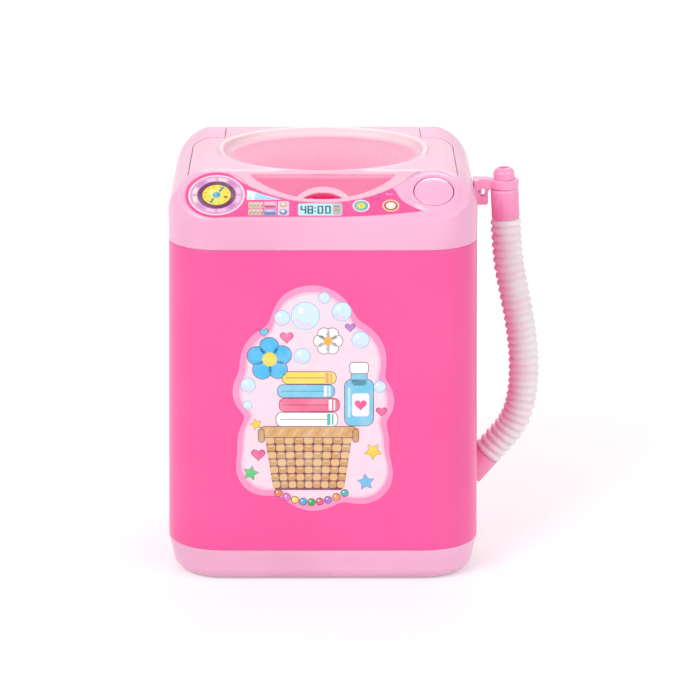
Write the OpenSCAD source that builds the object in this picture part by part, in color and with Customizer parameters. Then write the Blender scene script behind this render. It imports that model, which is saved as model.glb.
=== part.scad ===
// Toy washing machine, battery powered, with a spinning drum behind a top lid.
// X is to the right, Y to the back and Z up. The origin is the middle of the base, on the table.

/* [Body] */
// Width of the machine at the upper seam
body_w = 96; // [95:0.5:108]
// Depth of the machine at the upper seam
body_d = 84; // [83.5:0.5:94]
// Height of the wall between the two seams
body_h = 97.5; // [97:0.5:108]
// Plan radius of the four upright corners
corner_r = 16; // [15:0.5:17]
// How far each side flares out from the upper seam to the lower seam
draft = 1.3; // [0.8:0.1:1.8]
// Thickness of the moulded walls
wall = 1.8; // [1.5:0.1:2]

/* [Base tray] */
// Height of the tray up to the lower seam
base_h = 11; // [10:0.5:12.5]
// Radius of the rounded lower edge
base_round = 5; // [3:0.5:5.5]
// How far the tray draws in below the lower seam
foot_in = 1.4; // [0.4:0.1:1.6]
// Thickness of the tray floor
base_t = 1.8; // [1.6:0.1:2.2]
// Height of the lip that stands inside the wall
lip_h = 3; // [2:0.5:3.5]
// Thickness of that lip
lip_t = 1.2; // [1:0.1:1.4]

/* [Top cover] */
// Height of the cover above the upper seam
cover_h = 21; // [20:0.5:22]
// Height of the upright front of the cover, up to the slope
fascia_h = 10; // [9.5:0.1:10.5]
// Angle of the console slope from level
slope_a = 31; // [30:0.1:31.5]
// Radius of the long shoulders left and right
shoulder_r = 11; // [9:0.5:11.5]
// Depth of the deck below the top, where the lid lies
deck_drop = 3.6; // [3.5:0.1:4]
// Thickness of the deck
deck_t = 1.6; // [1.4:0.1:1.8]
// Width of the deck's edge inside the ring of the tub
mouth_edge = 3; // [2:0.5:5]

/* [Console] */
// Distance from the slope's lower edge up to the label
label_edge = 1.2; // [1:0.1:1.8]
// Thickness of the printed labels
label_t = 0.2; // [0.15:0.05:0.3]
// Radius of the label's round end, round the dial
dial_end_r = 9.7; // [9:0.1:9.8]
// Distance of the dial centre left of the middle
dial_x = 32.7; // [32:0.1:33]
// Height of the dial centre up the slope, from the label's edge
dial_s = 9.3; // [9:0.1:9.5]
// Radius of the long curve between lid and label
smile_r = 39; // [38:0.5:41]
// Gap from the label's lower edge to the lowest point of that curve
smile_s = 6.1; // [5.8:0.1:6.5]

/* [Lid] */
// Distance from the cover's side to the side edge of the lid
lid_margin = 6.2; // [6:0.1:7]
// Distance from the rear wall to the end of the lid's side part
lid_rear = 21.4; // [21.4:0.1:23]
// Thickness of the lid
lid_t = 1.8; // [1.6:0.1:1.9]
// Half length of the oval dish, left to right
dish_a = 31.5; // [29:0.5:31.5]
// Half width of the oval dish, front to back
dish_b = 26.5; // [24:0.5:26.5]
// Distance from the top of the slope back to the dish
dish_edge = 0.1; // [0.1:0.1:0.5]
// Depth of the dish floor below the top of the cover
dish_drop = 1.5; // [1.2:0.1:1.7]
// Thickness of the dish floor
dish_t = 1.6; // [1.4:0.1:1.7]
// Width of the raised rim round the dish
rim_w = 2.2; // [1.6:0.1:2.4]
// Height of that rim above the cover
rim_h = 1.5; // [1:0.1:2]
// Depth of the finger scoop below the slope
scoop_drop = 1.7; // [1.2:0.1:1.8]
// Thickness of the scoop's floor
scoop_t = 1.2; // [1:0.1:1.3]
// Width of the light rim round the scoop
scoop_rim = 1.5; // [1.2:0.1:1.8]
// Width of the light band between the scoop and the dish
scoop_band = 1.6; // [1.5:0.1:2]
// Half width of the little arched notch
notch_w = 6.1; // [5.5:0.1:6.5]
// Height of the notch
notch_h = 2.6; // [2.2:0.1:2.8]

/* [Hinge] */
// Outer radius of the hinge barrel along the rear edge
barrel_r = 5.5; // [5:0.1:5.6]
// Half length of the barrel on the lid
barrel_half = 31.7; // [29:0.1:31.7]
// Radius of the moulded hinge pins
pin_r = 1.5; // [1.3:0.1:1.8]
// Length of each pin
pin_l = 3; // [2.5:0.1:3.2]

/* [Button] */
// Distance of the button right of the middle
button_x = 34.1; // [34:0.1:34.4]
// Height of the button centre up the slope, from the label's edge
button_s = 10.2; // [10:0.1:10.6]
// Radius of the button cap
button_r = 5.9; // [5.5:0.1:5.9]
// Radius of the raised ring round the button
boss_r = 10; // [9.5:0.1:10.1]
// Height of the raised ring
boss_h = 0.8; // [0.5:0.1:1]
// How far the button goes in
button_travel = 1.5; // [1:0.1:1.6]
// Radius of the button's stem
stem_r = 2.2; // [1.8:0.1:2.4]

/* [Tub and drum] */
// Distance of the drum axis behind the middle
axis_y = 2; // [1.8:0.1:2.2]
// Gap between the rim of the tub and the lip inside the wall
tub_gap = 0.45; // [0.3:0.05:1]
// Wall of the tub
tub_wall = 1.6; // [1.4:0.1:1.8]
// Gap between the battery box and the motor, which sets the depth of the tub
motor_gap = 3; // [2.5:0.1:5]
// Thickness of the tub floor
tub_floor_t = 2; // [1.8:0.1:2.4]
// Width of the ring that closes the tub
ring_w = 7.4; // [6:0.1:8]
// Gap between the tub and the spin basket, all round
basket_gap = 2; // [1.5:0.1:3]
// Gap between the top of the basket and the ring of the tub
rim_gap = 1.8; // [1.2:0.1:3]
// Wall of the spin basket
basket_wall = 1.4; // [1.2:0.1:1.6]
// Holes round the basket, in each row
basket_holes = 12; // [8:1:16]
// Radius of those holes
basket_hole_r = 1.6; // [1.2:0.1:2]
// Gap between the agitator disc and the basket
agitator_gap = 4.6; // [3.8:0.1:6]
// Number of agitator fins
fins = 4; // [3:1:6]

/* [Gears and motor] */
// Tooth size of both gears
gear_module = 0.6; // [0.6:0.01:0.62]
// Teeth of the drum gear
drum_teeth = 40; // [38:2:40]
// Teeth of the motor pinion
pinion_teeth = 10; // [10:2:12]
// Height of both gears
gear_t = 4; // [3:0.5:4.2]
// Radius of the drum shaft
shaft_r = 2; // [1.8:0.1:2.2]
// Radius of the motor shaft
motor_shaft_r = 1; // [0.9:0.05:1.1]
// Radius of the motor can
motor_r = 10.2; // [9.5:0.1:10.4]
// Half width of the motor can over its two flats
motor_flat = 7.7; // [7.2:0.1:7.9]
// Length of the motor can
motor_l = 20; // [18:0.5:20.5]
// Length of the motor's rear cap
motor_cap_l = 5; // [4:0.5:5.5]

/* [Battery] */
// Diameter of one cell
cell_d = 14.5; // [14:0.1:14.5]
// Length of one cell over its nub
cell_l = 50.5; // [49.5:0.1:50.5]
// Room between the cell and the box, at the side and above
cell_gap = 0.3; // [0.2:0.1:0.4]
// Length of each contact spring
spring_l = 5.7; // [4.7:0.1:6.7]
// Distance from the rear wall to the middle of the box
box_rear = 21.5; // [21.2:0.1:21.7]

/* [Drain and hose] */
// Height of the outlet above the table
outlet_z = 26; // [25:0.5:26]
// Distance from the drum axis to the drain, to the right
drain_x = 28; // [27.8:0.1:28.5]
// Outer radius of the drain pipe
pipe_r = 4.6; // [4.4:0.1:4.7]
// Wall of the drain pipe
pipe_wall = 1.15; // [1:0.05:1.2]
// Outer radius of the ribbed hose over its ribs
hose_r = 5; // [4.6:0.1:5]
// Depth of the grooves between the ribs
rib_depth = 0.6; // [0.4:0.1:0.8]
// Number of ribs
rib_count = 34; // [24:1:36]
// Radius of the hose bore
hose_bore_r = 3.5; // [3.3:0.1:3.6]
// Outer radius of the nozzle sleeve
sleeve_r = 4.5; // [4.4:0.1:4.7]
// Radius of the nozzle's nose
nose_r = 3.4; // [3.2:0.1:3.5]
// Radius of the hole in the nose
nose_hole_r = 1.45; // [1.2:0.05:1.8]
// Height of the bracket arm on the wall
arm_h = 8.3; // [7.5:0.1:8.5]
// Thickness of the bracket arm, front to back
arm_t = 4; // [3:0.5:5]
// Height of the open ring that holds the nose
clip_h = 3; // [2.5:0.1:3]

/* [Fasteners] */
// Radius of a screw's shank
screw_r = 1.25; // [1.1:0.05:1.4]
// Radius of a screw's head
head_r = 2.4; // [2.2:0.1:2.5]
// Height of a screw's head
head_h = 1.3; // [1:0.1:1.4]
// Radius of the bosses that take the screws
post_r = 3.2; // [3:0.1:3.3]

/* [Clearances] */
// Gap round the lid
lid_gap = 0.35; // [0.3:0.05:0.4]
// Gap behind the lid's side part, which swings back as it opens
lid_back_gap = 0.8; // [0.8:0.05:1]
// Space under a part that lies on another body
seat_gap = 0.3; // [0.25:0.05:0.4]
// Radial clearance of pins and shafts that turn
run_gap = 0.05; // [0.03:0.01:0.08]
// Gap round the button cap
button_gap = 0.5; // [0.4:0.05:0.55]
// Clearance of moulded parts that plug together
plug_gap = 0.15; // [0.1:0.05:0.2]

/* [Hidden] */
$fn = 64;
seam_z = base_h + body_h;
top_z = seam_z + cover_h;
half_w = body_w / 2;
half_d = body_d / 2;
corner_x = half_w - corner_r;
corner_y = half_d - corner_r;

// Slope: where it meets the upright front and the level top
slope_z = seam_z + fascia_h;
slope_run = (top_z - slope_z) / tan(slope_a);
slope_l = (top_z - slope_z) / sin(slope_a);
brow_y = slope_run - half_d;
label_top = slope_l - label_edge;
smile_c = smile_s + smile_r;
label_neck = 6;
label_high = 15.6;
label_tip = 4;
dial_clear = dial_end_r + 0.6;

// Hinge
hinge_y = half_d - barrel_r;
hinge_z = top_z - barrel_r;
cheek_x = barrel_half + 0.5;
cheek_l = pin_l + 1.5;
pocket_r = barrel_r + seat_gap;
rear_cut = 3.4;

// Deck and lid
deck_z = top_z - deck_drop;
lid_half = half_w - lid_margin;
lid_back = half_d - lid_rear;
dish_y = brow_y + dish_edge + dish_b;
dish_z = top_z - dish_drop;
deck_sink = scoop_drop + scoop_t + seat_gap;
lid_corner = 6;

// Inner corner of the tray, drawn in so that its rounded edge keeps its thickness
tray_hollow = 1;

// Battery box
box_y = half_d - box_rear;
box_wall = 2;
ledge = 1;
door_t = 1.6;
door_sink = 0.3;
door_gap = 0.25;
box_z = door_sink + door_t;
box_w = 2 * cell_d + 0.6 + 2 * cell_gap;
box_h = cell_d + 2 * cell_gap;
cell_z = box_z + cell_gap + cell_d / 2;
cell_s = (cell_d + 0.6) / 2;
contact_t = 0.4;
contact_w = 8;
contact_coil_r = 3.6;
contact_wire_r = 0.35;
box_l = cell_l + spring_l + 2 * contact_t;
box_roof = 1.5;
box_top = box_z + box_h + box_roof;
door_tab = 8;
door_tab_w = 10;
door_screw_x = box_l / 2 + box_wall + 3;
door_screw_l = 7;

// Tub stack from the seam downwards
tub_top = seam_z + 1;
gear_room = 6.5;
plate_t = 2;
flange_t = 2;
flange_w = 0.8;
flange_r = half_d - axis_y - wall - plug_gap - lip_t - tub_gap;
tub_r = flange_r - flange_w;
basket_r = tub_r - tub_wall - basket_gap;
agitator_r = basket_r - basket_wall - agitator_gap;
ear_r = post_r + 0.2;
ear_w = 4.8;
ring_t = 1.6;
gasket_t = 1;
ring_in = flange_r - ring_w;
mouth_r = ring_in - mouth_edge;
collar_r = ring_in + 1.6;
collar_z = tub_top + ring_t + gasket_t;
tub_low = box_top + motor_gap + motor_cap_l + motor_l + plate_t + gear_room;
tub_floor = tub_low + tub_floor_t;
tub_hub_r = 7;
tub_hub_z = tub_floor + 3;
bush_r = 4;
bush_head_r = 5.6;
bush_head_t = 1;
seal_t = 1.4;
basket_low = tub_hub_z + seal_t + 1.8;
basket_floor_t = 1.6;
basket_top = tub_top - rim_gap;
agitator_low = basket_low + basket_floor_t;
agitator_h = 20;
nut_z = agitator_low + agitator_h;
nut_h = 4;

// Gear room below the tub
plate_z = tub_low - gear_room;
plate_r = 23;
plate_post_r = 19;
plate_post_a = [60, 140, 220, 300];
gear_z = plate_z + 1;
gear_span = gear_module * (drum_teeth + pinion_teeth) / 2;
motor_face = plate_z - plate_t;
motor_boss_r = 3.05;
motor_screw_s = 6;
motor_screw_r = 0.85;

// Corner screws
base_post_x = half_w - 9.5;
base_post_y = half_d - 9.5;
base_post_r = 3.8;
base_post_top = base_h + lip_h + 1.5;
base_screw_z = 9;
base_screw_l = 15;
cover_screw_l = 9;
tub_screw_l = 10;
plate_screw_l = 7;
motor_screw_in = 3;
top_post_x = half_w - 8.5;
top_post_y = half_d - 8.5;
tab_t = 2;
tab_z = seam_z - lip_h - tab_t;
tab_r = 4.2;
front_boss = [20.5, 6.7 - half_d];
rear_boss = [half_w - 13, half_d - 15];

// Button stack, measured along the slope's normal
cap_top = boss_h + 0.8;
cap_low = -1.6;
spring_pressed = 1.9;
cup_floor = cap_low - spring_pressed - button_travel;
cup_floor_t = 1;
cup_wall = 1.6;
clip_t = 0.6;
clip_r = 3.6;
switch_top = cup_floor - cup_floor_t - seat_gap - clip_t - button_travel - 0.2;
switch_w = 9.2;
switch_h = 6.4;
stem_in = 1.4;
stem_end = switch_top - stem_in;
cup_end = switch_top - switch_h;

// Outlet, hose route and nozzle, all in the plane Y = 0
elbow_r = 4.7;
spigot_r = 2.8;
water_r = 1.8;
elbow_gap = 0.3;
socket_t = 1.7;
socket_l = 6;
socket_rim = 1.8;
pipe_bend = 9;
wall_slope = draft / body_h;
outlet_out = half_w + wall_slope * (seam_z - outlet_z);
outlet_in = outlet_out - wall;
nipple_l = 6;
hose_sides = 8;
// Route of the hose up to the nozzle: distance out from the body's side, and height
hose_points = [
    [5.4, 28.6], [8.6, 32.4], [11.8, 36.3], [14.2, 40.2], [15.9, 44.8],
    [16.9, 50.4], [17.2, 56.4], [17.0, 62.6], [16.3, 69.0], [15.3, 75.4],
    [14.0, 81.8], [12.7, 88.0], [11.8, 92.7], [11.2, 98.0], [10.75, 103.1], [10.45, 108.1]
];
hose_drop = 0.4;
hose_low = hose_points[0][1];
hose_high = hose_points[len(hose_points) - 1][1];
hose_grow = (seam_z - hose_drop - hose_high) / (hose_high - hose_low);
hose_route = [for (q = hose_points) [half_w + q[0], q[1] + (q[1] - hose_low) * hose_grow]];
// Elbow and nozzle lie along the first and the last stretch of the hose
hose_start = hose_route[0];
hose_end = hose_route[len(hose_route) - 1];
start_run = hose_route[1] - hose_start;
end_run = hose_end - hose_route[len(hose_route) - 2];
elbow_a = atan2(start_run[1], start_run[0]);
elbow_x = hose_start[0] - (hose_start[1] - outlet_z) / tan(elbow_a);
elbow_reach = (hose_start[1] - outlet_z) / sin(elbow_a);
nozzle_a = atan2(-end_run[0], end_run[1]);
sleeve_l = 9.6;
nose_l = 16.6;
clip_z = hose_end[1] + sleeve_l * cos(nozzle_a) + 0.35;
clip_x = hose_end[0] - (clip_z + clip_h / 2 - hose_end[1]) * tan(nozzle_a);
clip_gap = 0.25;
clip_wall = 1;
clip_in_r = nose_r + clip_gap;
pad_t = 1.5;
pad_w = 7;
arm_w = 4.6;
arm_low = clip_z + clip_h - arm_h;
arm_slot_w = 1.1;
arm_slot_h = 2.6;
bracket_screw_z = clip_z - 3;
bracket_screw_l = 3.6;

// Repeats a shape in the four corners
module four(x, y) {
    for (i = [-1, 1], j = [-1, 1]) translate([i * x, j * y, 0]) children();
}

// Plan of the body with its corners, drawn in by inset
module plan(inset) {
    square([body_w - 2 * inset, 2 * corner_y], center = true);
    square([2 * corner_x, body_d - 2 * inset], center = true);
    for (i = [-1, 1], j = [-1, 1])
        translate([i * corner_x, j * corner_y]) circle(corner_r - inset);
}

// Block with the body's plan that flares by f0 at z0 and f1 at z1
module flared(z0, z1, f0, f1) {
    hull() for (i = [-1, 1], j = [-1, 1])
        translate([i * corner_x, j * corner_y, z0])
            cylinder(h = z1 - z0, r1 = corner_r + f0, r2 = corner_r + f1, $fn = 48);
}

// Flare of the body at a height
function flare(z) = wall_slope * (seam_z - z);

// Upright ring
module ring(z0, z1, r_out, r_in) {
    translate([0, 0, z0]) difference() {
        cylinder(h = z1 - z0, r = r_out);
        translate([0, 0, -1]) cylinder(h = z1 - z0 + 2, r = r_in);
    }
}

// Upright bar
module bar(z0, z1, r) {
    translate([0, 0, z0]) cylinder(h = z1 - z0, r = r);
}

// Screw that points up, with the underside of its head at z = 0
module screw(length, r = screw_r, hr = head_r, hh = head_h) {
    difference() {
        union() {
            cylinder(h = length, r = r, $fn = 24);
            translate([0, 0, -hh]) cylinder(h = hh, r = hr, $fn = 32);
        }
        for (a = [0, 90]) rotate([0, 0, a])
            translate([-0.75 * hr, -0.25, -hh - 1]) cube([1.5 * hr, 0.5, 1 + hh / 2]);
    }
}

// Frame of the slope: X right, Y up the slope from the label's edge, Z out of the face
module on_slope(x = 0, s = 0) {
    translate([0, -half_d, slope_z]) rotate([slope_a, 0, 0])
        translate([x, s + label_edge, 0]) children();
}

// Turns an upright bar or ring to lie along X
module along_x() {
    rotate([0, 90, 0]) children();
}

// Functions that sweep a round section along a route
function unit(v) = v / norm(v);
function clamp_index(p, i) = i < 0 ? 2 * p[0] - p[1]
    : i >= len(p) ? 2 * p[len(p) - 1] - p[len(p) - 2] : p[i];
function spline(a, b, c, d, t) = 0.5 * (2 * b + (c - a) * t
    + (2 * a - 5 * b + 4 * c - d) * t * t + (3 * b - a - 3 * c + d) * t * t * t);
function route_point(p, t) = let (i = min(floor(t), len(p) - 2), f = t - i)
    spline(clamp_index(p, i - 1), p[i], p[i + 1], clamp_index(p, i + 2), f);
function side_of(d, up) = unit(cross(up, d));
// One ring of a tube, square to direction d, wound the same way for every ring
function tube_ring(c, d, up, r, sides) = let (n = side_of(d, up), b = cross(d, n))
    [for (k = [0:sides - 1]) let (a = 360 * k / sides) c + r * (cos(a) * n + sin(a) * b)];
function flat_list(lists) = [for (l = lists, v = l) v];
// Triangles that join two rings which start at point numbers i and j
function band(i, j, sides, flip = false) = [for (k = [0:sides - 1])
    let (m = (k + 1) % sides, f = [[i + k, i + m, j + m], [i + k, j + m, j + k]])
    each flip ? [for (q = f) [q[2], q[1], q[0]]] : f];

// Solid round bar along points, flat at both ends
module rod(points, r, sides, up) {
    n = len(points);
    dirs = [for (i = [0:n - 1]) unit(points[min(i + 1, n - 1)] - points[max(i - 1, 0)])];
    rings = flat_list([for (i = [0:n - 1]) tube_ring(points[i], dirs[i], up, r, sides)]);
    ends = [points[0], points[n - 1]];
    polyhedron(points = concat(rings, ends), faces = concat(
        flat_list([for (i = [0:n - 2]) band(sides * (i + 1), sides * i, sides)]),
        [for (k = [0:sides - 1]) [k, (k + 1) % sides, n * sides]],
        [for (k = [0:sides - 1]) let (s = (n - 1) * sides)
            [s + (k + 1) % sides, s + k, n * sides + 1]]));
}

// Coil spring that stands on z = 0
module coil(length, r, wire, turns) {
    steps = 14;
    n = turns * steps;
    rise = length - 2 * wire;
    rod([for (i = [0:n]) [r * cos(360 * i / steps), r * sin(360 * i / steps),
        wire + rise * i / n]], wire, 6, [0, 0, 1]);
}

// Outer shape of the cover, drawn in by inset on every side but the bottom
module cover_side(inset) {
    lift = inset / cos(slope_a);
    y0 = inset - half_d;
    z0 = slope_z + inset * tan(slope_a) - lift;
    y1 = brow_y + (lift - inset) / tan(slope_a);
    polygon([[y0, seam_z], [y0, z0], [y1, top_z - inset], [hinge_y, top_z - inset],
        [half_d - inset, hinge_z], [half_d - inset, seam_z]]);
    translate([hinge_y, hinge_z]) circle(barrel_r - inset);
}

module cover_front(inset) {
    w = half_w - inset;
    translate([-w, seam_z]) square([2 * w, cover_h - shoulder_r]);
    translate([shoulder_r - half_w, seam_z])
        square([body_w - 2 * shoulder_r, cover_h - inset]);
    for (i = [-1, 1]) translate([i * (half_w - shoulder_r), top_z - shoulder_r])
        circle(shoulder_r - inset);
}

module cover_block(inset) {
    intersection() {
        translate([-half_w - 1, 0, 0]) rotate([90, 0, 90])
            linear_extrude(body_w + 2) cover_side(inset);
        translate([0, half_d + 1, 0]) rotate([90, 0, 0])
            linear_extrude(body_d + 2) cover_front(inset);
        translate([0, 0, seam_z]) linear_extrude(cover_h + 1) plan(inset);
    }
}

// Plan of the lid's level part, grown by g at the sides and gb at the back
module lid_plan(g, gb, front) {
    back = lid_back + gb;
    w = lid_half + g;
    r = lid_corner;
    translate([-w, front]) square([2 * w, back - r - front]);
    translate([r - w, front]) square([2 * (w - r), back - front]);
    for (i = [-1, 1]) translate([i * (w - r), back - r]) circle(r);
    translate([-barrel_half - g, front]) square([2 * (barrel_half + g), hinge_y - front]);
}

// Shape of the lid's apron on the slope, grown by g
module apron_plan(g) {
    intersection() {
        translate([0, smile_c]) circle(smile_r + g, $fn = 128);
        translate([-lid_half, 0]) square([2 * lid_half, label_top + 3]);
    }
}

// Everything above the lid's outline: level part to depth d, apron to depth da
module lid_space(g, gb, d, da) {
    translate([0, 0, top_z - d]) linear_extrude(d + 5)
        lid_plan(g, gb, brow_y - g);
    on_slope() translate([0, 0, -da]) linear_extrude(da + 5) apron_plan(g);
}

// Round places in front of the lid that belong to the cover
module lid_keepout(g) {
    on_slope(button_x, button_s) translate([0, 0, -12])
        cylinder(h = 20, r = boss_r + g);
    on_slope(-dial_x, dial_s) translate([0, 0, -12])
        cylinder(h = 20, r = dial_clear - lid_gap + g);
}

module oval(a, b, z0, z1) {
    translate([0, dish_y, z0]) linear_extrude(z1 - z0)
        polygon([for (i = [0:5:355]) [a * cos(i), b * sin(i)]]);
}

// Crescent of the finger scoop on the slope, drawn in by g
module scoop_plan(g) {
    intersection() {
        translate([0, smile_c]) circle(smile_r - scoop_rim - g, $fn = 96);
        translate([-lid_half, 0]) square([2 * lid_half, label_top - scoop_band - g]);
    }
}

// Arch over the notch, as a circle through its foot and crown
module arch(w, h) {
    r = (w * w + h * h) / (2 * h);
    translate([0, smile_s + h - r]) circle(r, $fn = 64);
}

// Gear with involute teeth, its first tooth towards +X when turned by phase
function inv_point(rb, a) = rb * [cos(a) + a * PI / 180 * sin(a), sin(a) - a * PI / 180 * cos(a)];
function polar_of(v) = atan2(v[1], v[0]);
function roll_at(rb, r) = r <= rb ? 0 : sqrt(r * r / (rb * rb) - 1) * 180 / PI;
function turned(v, a) = [v[0] * cos(a) - v[1] * sin(a), v[0] * sin(a) + v[1] * cos(a)];

module gear_teeth(teeth, phase) {
    pitch_r = gear_module * teeth / 2;
    base_r = pitch_r * cos(20);
    tip_r = pitch_r + 0.85 * gear_module;
    root_r = pitch_r - 1.1 * gear_module;
    // Half angle of the tooth at the pitch circle, thinned for running play
    half_a = 90 / teeth - 0.09 / pitch_r * 180 / PI;
    pitch_a = polar_of(inv_point(base_r, roll_at(base_r, pitch_r)));
    start_r = max(base_r, root_r);
    flank = [for (t = [0, 0.5, 1]) let (r = start_r + (tip_r - start_r) * t,
        p = inv_point(base_r, roll_at(base_r, r))) turned(p, -half_a - pitch_a)];
    foot = turned([root_r, 0], polar_of(flank[0]));
    right = concat([foot], flank);
    left = [for (i = [len(right) - 1:-1:0]) [right[i][0], -right[i][1]]];
    polygon([for (k = [0:teeth - 1], p = concat(right, left))
        turned(p, 360 * k / teeth + phase)]);
}

// Moulded tray with the battery box, four screw posts and the lip
module base_tray() {
    color([1, 0.69, 0.83]) difference() {
        union() {
            difference() {
                hull() for (i = [-1, 1], j = [-1, 1])
                    translate([i * corner_x, j * corner_y, 0]) foot_post();
                flared(base_t, base_h + 1, flare(base_t) - wall - foot_in - tray_hollow,
                    flare(base_h + 1) - wall);
            }
            tray_lip();
            translate([-box_l / 2 - box_wall, box_y - box_w / 2 - box_wall, 0])
                cube([box_l + 2 * box_wall, box_w + 2 * box_wall, box_top]);
            translate([door_screw_x, box_y, 0]) cylinder(h = box_z + door_screw_l + 1, r = post_r);
            four(base_post_x, base_post_y) cylinder(h = base_post_top, r = base_post_r);
        }
        translate([-box_l / 2, box_y - box_w / 2, -1]) cube([box_l, box_w, box_z + box_h + 1]);
        door_recess();
        translate([door_screw_x, box_y, 0]) cylinder(h = box_z + door_screw_l, r = screw_r + 0.02);
        four(base_post_x, base_post_y) {
            translate([0, 0, -1]) cylinder(h = base_post_top + 2, r = screw_r + 0.1);
            translate([0, 0, -1]) cylinder(h = base_screw_z + 1, r = head_r + 0.2);
        }
    }
}

// Corner of the tray: one round post whose lower edge is rounded
module foot_post() {
    top_r = corner_r + draft;
    foot_r = top_r - foot_in;
    rotate_extrude($fn = 48) polygon(concat([[0, 0], [foot_r - base_round, 0]],
        [for (a = [15:15:90]) [foot_r - base_round + base_round * sin(a),
            base_round - base_round * cos(a)]], [[top_r, base_h], [0, base_h]]));
}

// Lip of the tray that fits inside the wall, on a root that joins it to the tray
module tray_lip() {
    z1 = base_h + lip_h;
    in0 = flare(base_h) - wall - plug_gap;
    in1 = flare(z1) - wall - plug_gap;
    difference() {
        union() {
            flared(base_h - 2, base_h, in0 + wall / 2, in0 + wall / 2);
            flared(base_h - 1, z1, in0, in1);
        }
        flared(base_h - 3, z1 + 1, in0 - lip_t, in1 - lip_t);
    }
}

// Recess for the battery door, with the tab at its screw end
module door_recess() {
    x0 = -box_l / 2 - ledge;
    w = box_w + 2 * ledge;
    translate([x0, box_y - w / 2, -1]) cube([box_l + 2 * ledge, w, box_z + 1]);
    translate([0, box_y - door_tab_w / 2, -1])
        cube([box_l / 2 + ledge + door_tab, door_tab_w, box_z + 1]);
}

// Cover of the battery box, sunk a little so that the tray and not the door meets the table
module battery_door() {
    x0 = door_gap - box_l / 2 - ledge;
    w = box_w + 2 * ledge - 2 * door_gap;
    tab = door_tab_w - 2 * door_gap;
    color([1, 0.66, 0.81]) difference() {
        union() {
            translate([x0, box_y - w / 2, door_sink])
                cube([box_l + 2 * ledge - 2 * door_gap, w, door_t]);
            translate([0, box_y - tab / 2, door_sink])
                cube([box_l / 2 + ledge + door_tab - door_gap, tab, door_t]);
        }
        translate([door_screw_x, box_y, -1]) cylinder(h = 5, r = screw_r + 0.1);
        translate([door_screw_x, box_y, -1]) cylinder(h = 1 + door_sink + 0.8, r = head_r + 0.15);
        for (i = [-3:3]) translate([i * 3 - 8, box_y - 6, 0]) cube([1, 12, door_sink + 0.4]);
    }
}

module door_screw() {
    color("silver") translate([door_screw_x, box_y, door_sink + 0.8])
        screw(door_screw_l, hh = 0.75);
}

// Round cell that lies along X with its nub on the right when dir is 1
module cell(s, dir) {
    translate([dir * (cell_l + 2 * contact_t - box_l) / 2 * -1, box_y + s, cell_z])
        rotate([0, 90 * dir, 0]) {
            translate([0, 0, -cell_l / 2]) cylinder(h = cell_l - 1.5, r = cell_d / 2);
            translate([0, 0, cell_l / 2 - 1.6]) cylinder(h = 1.6, r = 2.7);
        }
}

module battery_cell_1() {
    color([0.2, 0.45, 0.35]) cell(-cell_s, 1);
}

module battery_cell_2() {
    color([0.2, 0.45, 0.35]) cell(cell_s, -1);
}

// Sheet metal contacts: one bridge on the left, two single ones on the right
module battery_contacts() {
    h = cell_d - 3;
    color("gold") {
        translate([-box_l / 2, box_y - cell_s - contact_w / 2, cell_z - h / 2])
            cube([contact_t, 2 * cell_s + contact_w, h]);
        for (i = [-1, 1])
            translate([box_l / 2 - contact_t, box_y + i * cell_s - contact_w / 2, cell_z - h / 2])
                cube([contact_t, contact_w, h]);
    }
}

module battery_springs() {
    color("silver") for (i = [-1, 1])
        translate([i * (box_l / 2 - contact_t), box_y + i * cell_s, cell_z])
            rotate([0, -90 * i, 0]) coil(spring_l, contact_coil_r, contact_wire_r, 4);
}

module base_screws() {
    color("silver") four(base_post_x, base_post_y)
        translate([0, 0, base_screw_z]) screw(base_screw_l);
}

// Wall all round, with bosses for the base screws and tabs for the cover screws
module body_shell() {
    color([1, 0.36, 0.66]) difference() {
        union() {
            difference() {
                flared(base_h, seam_z, draft, 0);
                flared(base_h - 1, seam_z + 1, draft - wall, -wall);
            }
            intersection() {
                flared(base_h, seam_z, draft - wall / 2, -wall / 2);
                union() {
                    four(base_post_x, base_post_y) bar(base_post_top, base_post_top + 14, post_r);
                    for (i = [-1, 1], j = [-1, 1])
                        translate([i * base_post_x, j * base_post_y, base_post_top])
                            rotate([0, 0, atan2(j, i)]) translate([0, -0.6, 0]) cube([9, 1.2, 14]);
                    four(top_post_x, top_post_y) bar(tab_z, tab_z + tab_t, tab_r);
                }
            }
        }
        four(base_post_x, base_post_y) bar(base_post_top - 1, base_screw_z + base_screw_l + 3, screw_r + 0.02);
        four(top_post_x, top_post_y) bar(tab_z - 1, tab_z + tab_t + 1, screw_r + 0.1);
        translate([half_w - 8, 0, outlet_z]) along_x() cylinder(h = 16, r = pipe_r + run_gap);
    }
}

module cover_screws() {
    color("silver") four(top_post_x, top_post_y) translate([0, 0, tab_z]) screw(cover_screw_l);
}

// Places of the bosses that hold the tub under the cover
module tub_bosses() {
    for (i = [-1, 1]) {
        translate([i * front_boss[0], front_boss[1], 0]) children();
        translate([i * rear_boss[0], rear_boss[1], 0]) children();
    }
}

// Solid under the lid's pocket: the deck, its walls and the trough behind the barrel
module pocket_block() {
    lid_space(lid_gap + deck_t, lid_back_gap + deck_t, deck_drop + deck_t, deck_sink + deck_t);
    translate([-cheek_x - deck_t, hinge_y, hinge_z]) along_x()
        cylinder(h = 2 * (cheek_x + deck_t), r = pocket_r + deck_t);
}

// Room that the lid and its barrel need
module lid_pocket() {
    difference() {
        lid_space(lid_gap, lid_back_gap, deck_drop, deck_sink);
        lid_keepout(0);
    }
    translate([-cheek_x, hinge_y, hinge_z]) along_x() cylinder(h = 2 * cheek_x, r = pocket_r);
    translate([-cheek_x, hinge_y + rear_cut / 2, hinge_z - rear_cut])
        cube([2 * cheek_x, 2 * barrel_r, 4 * barrel_r]);
}

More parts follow.
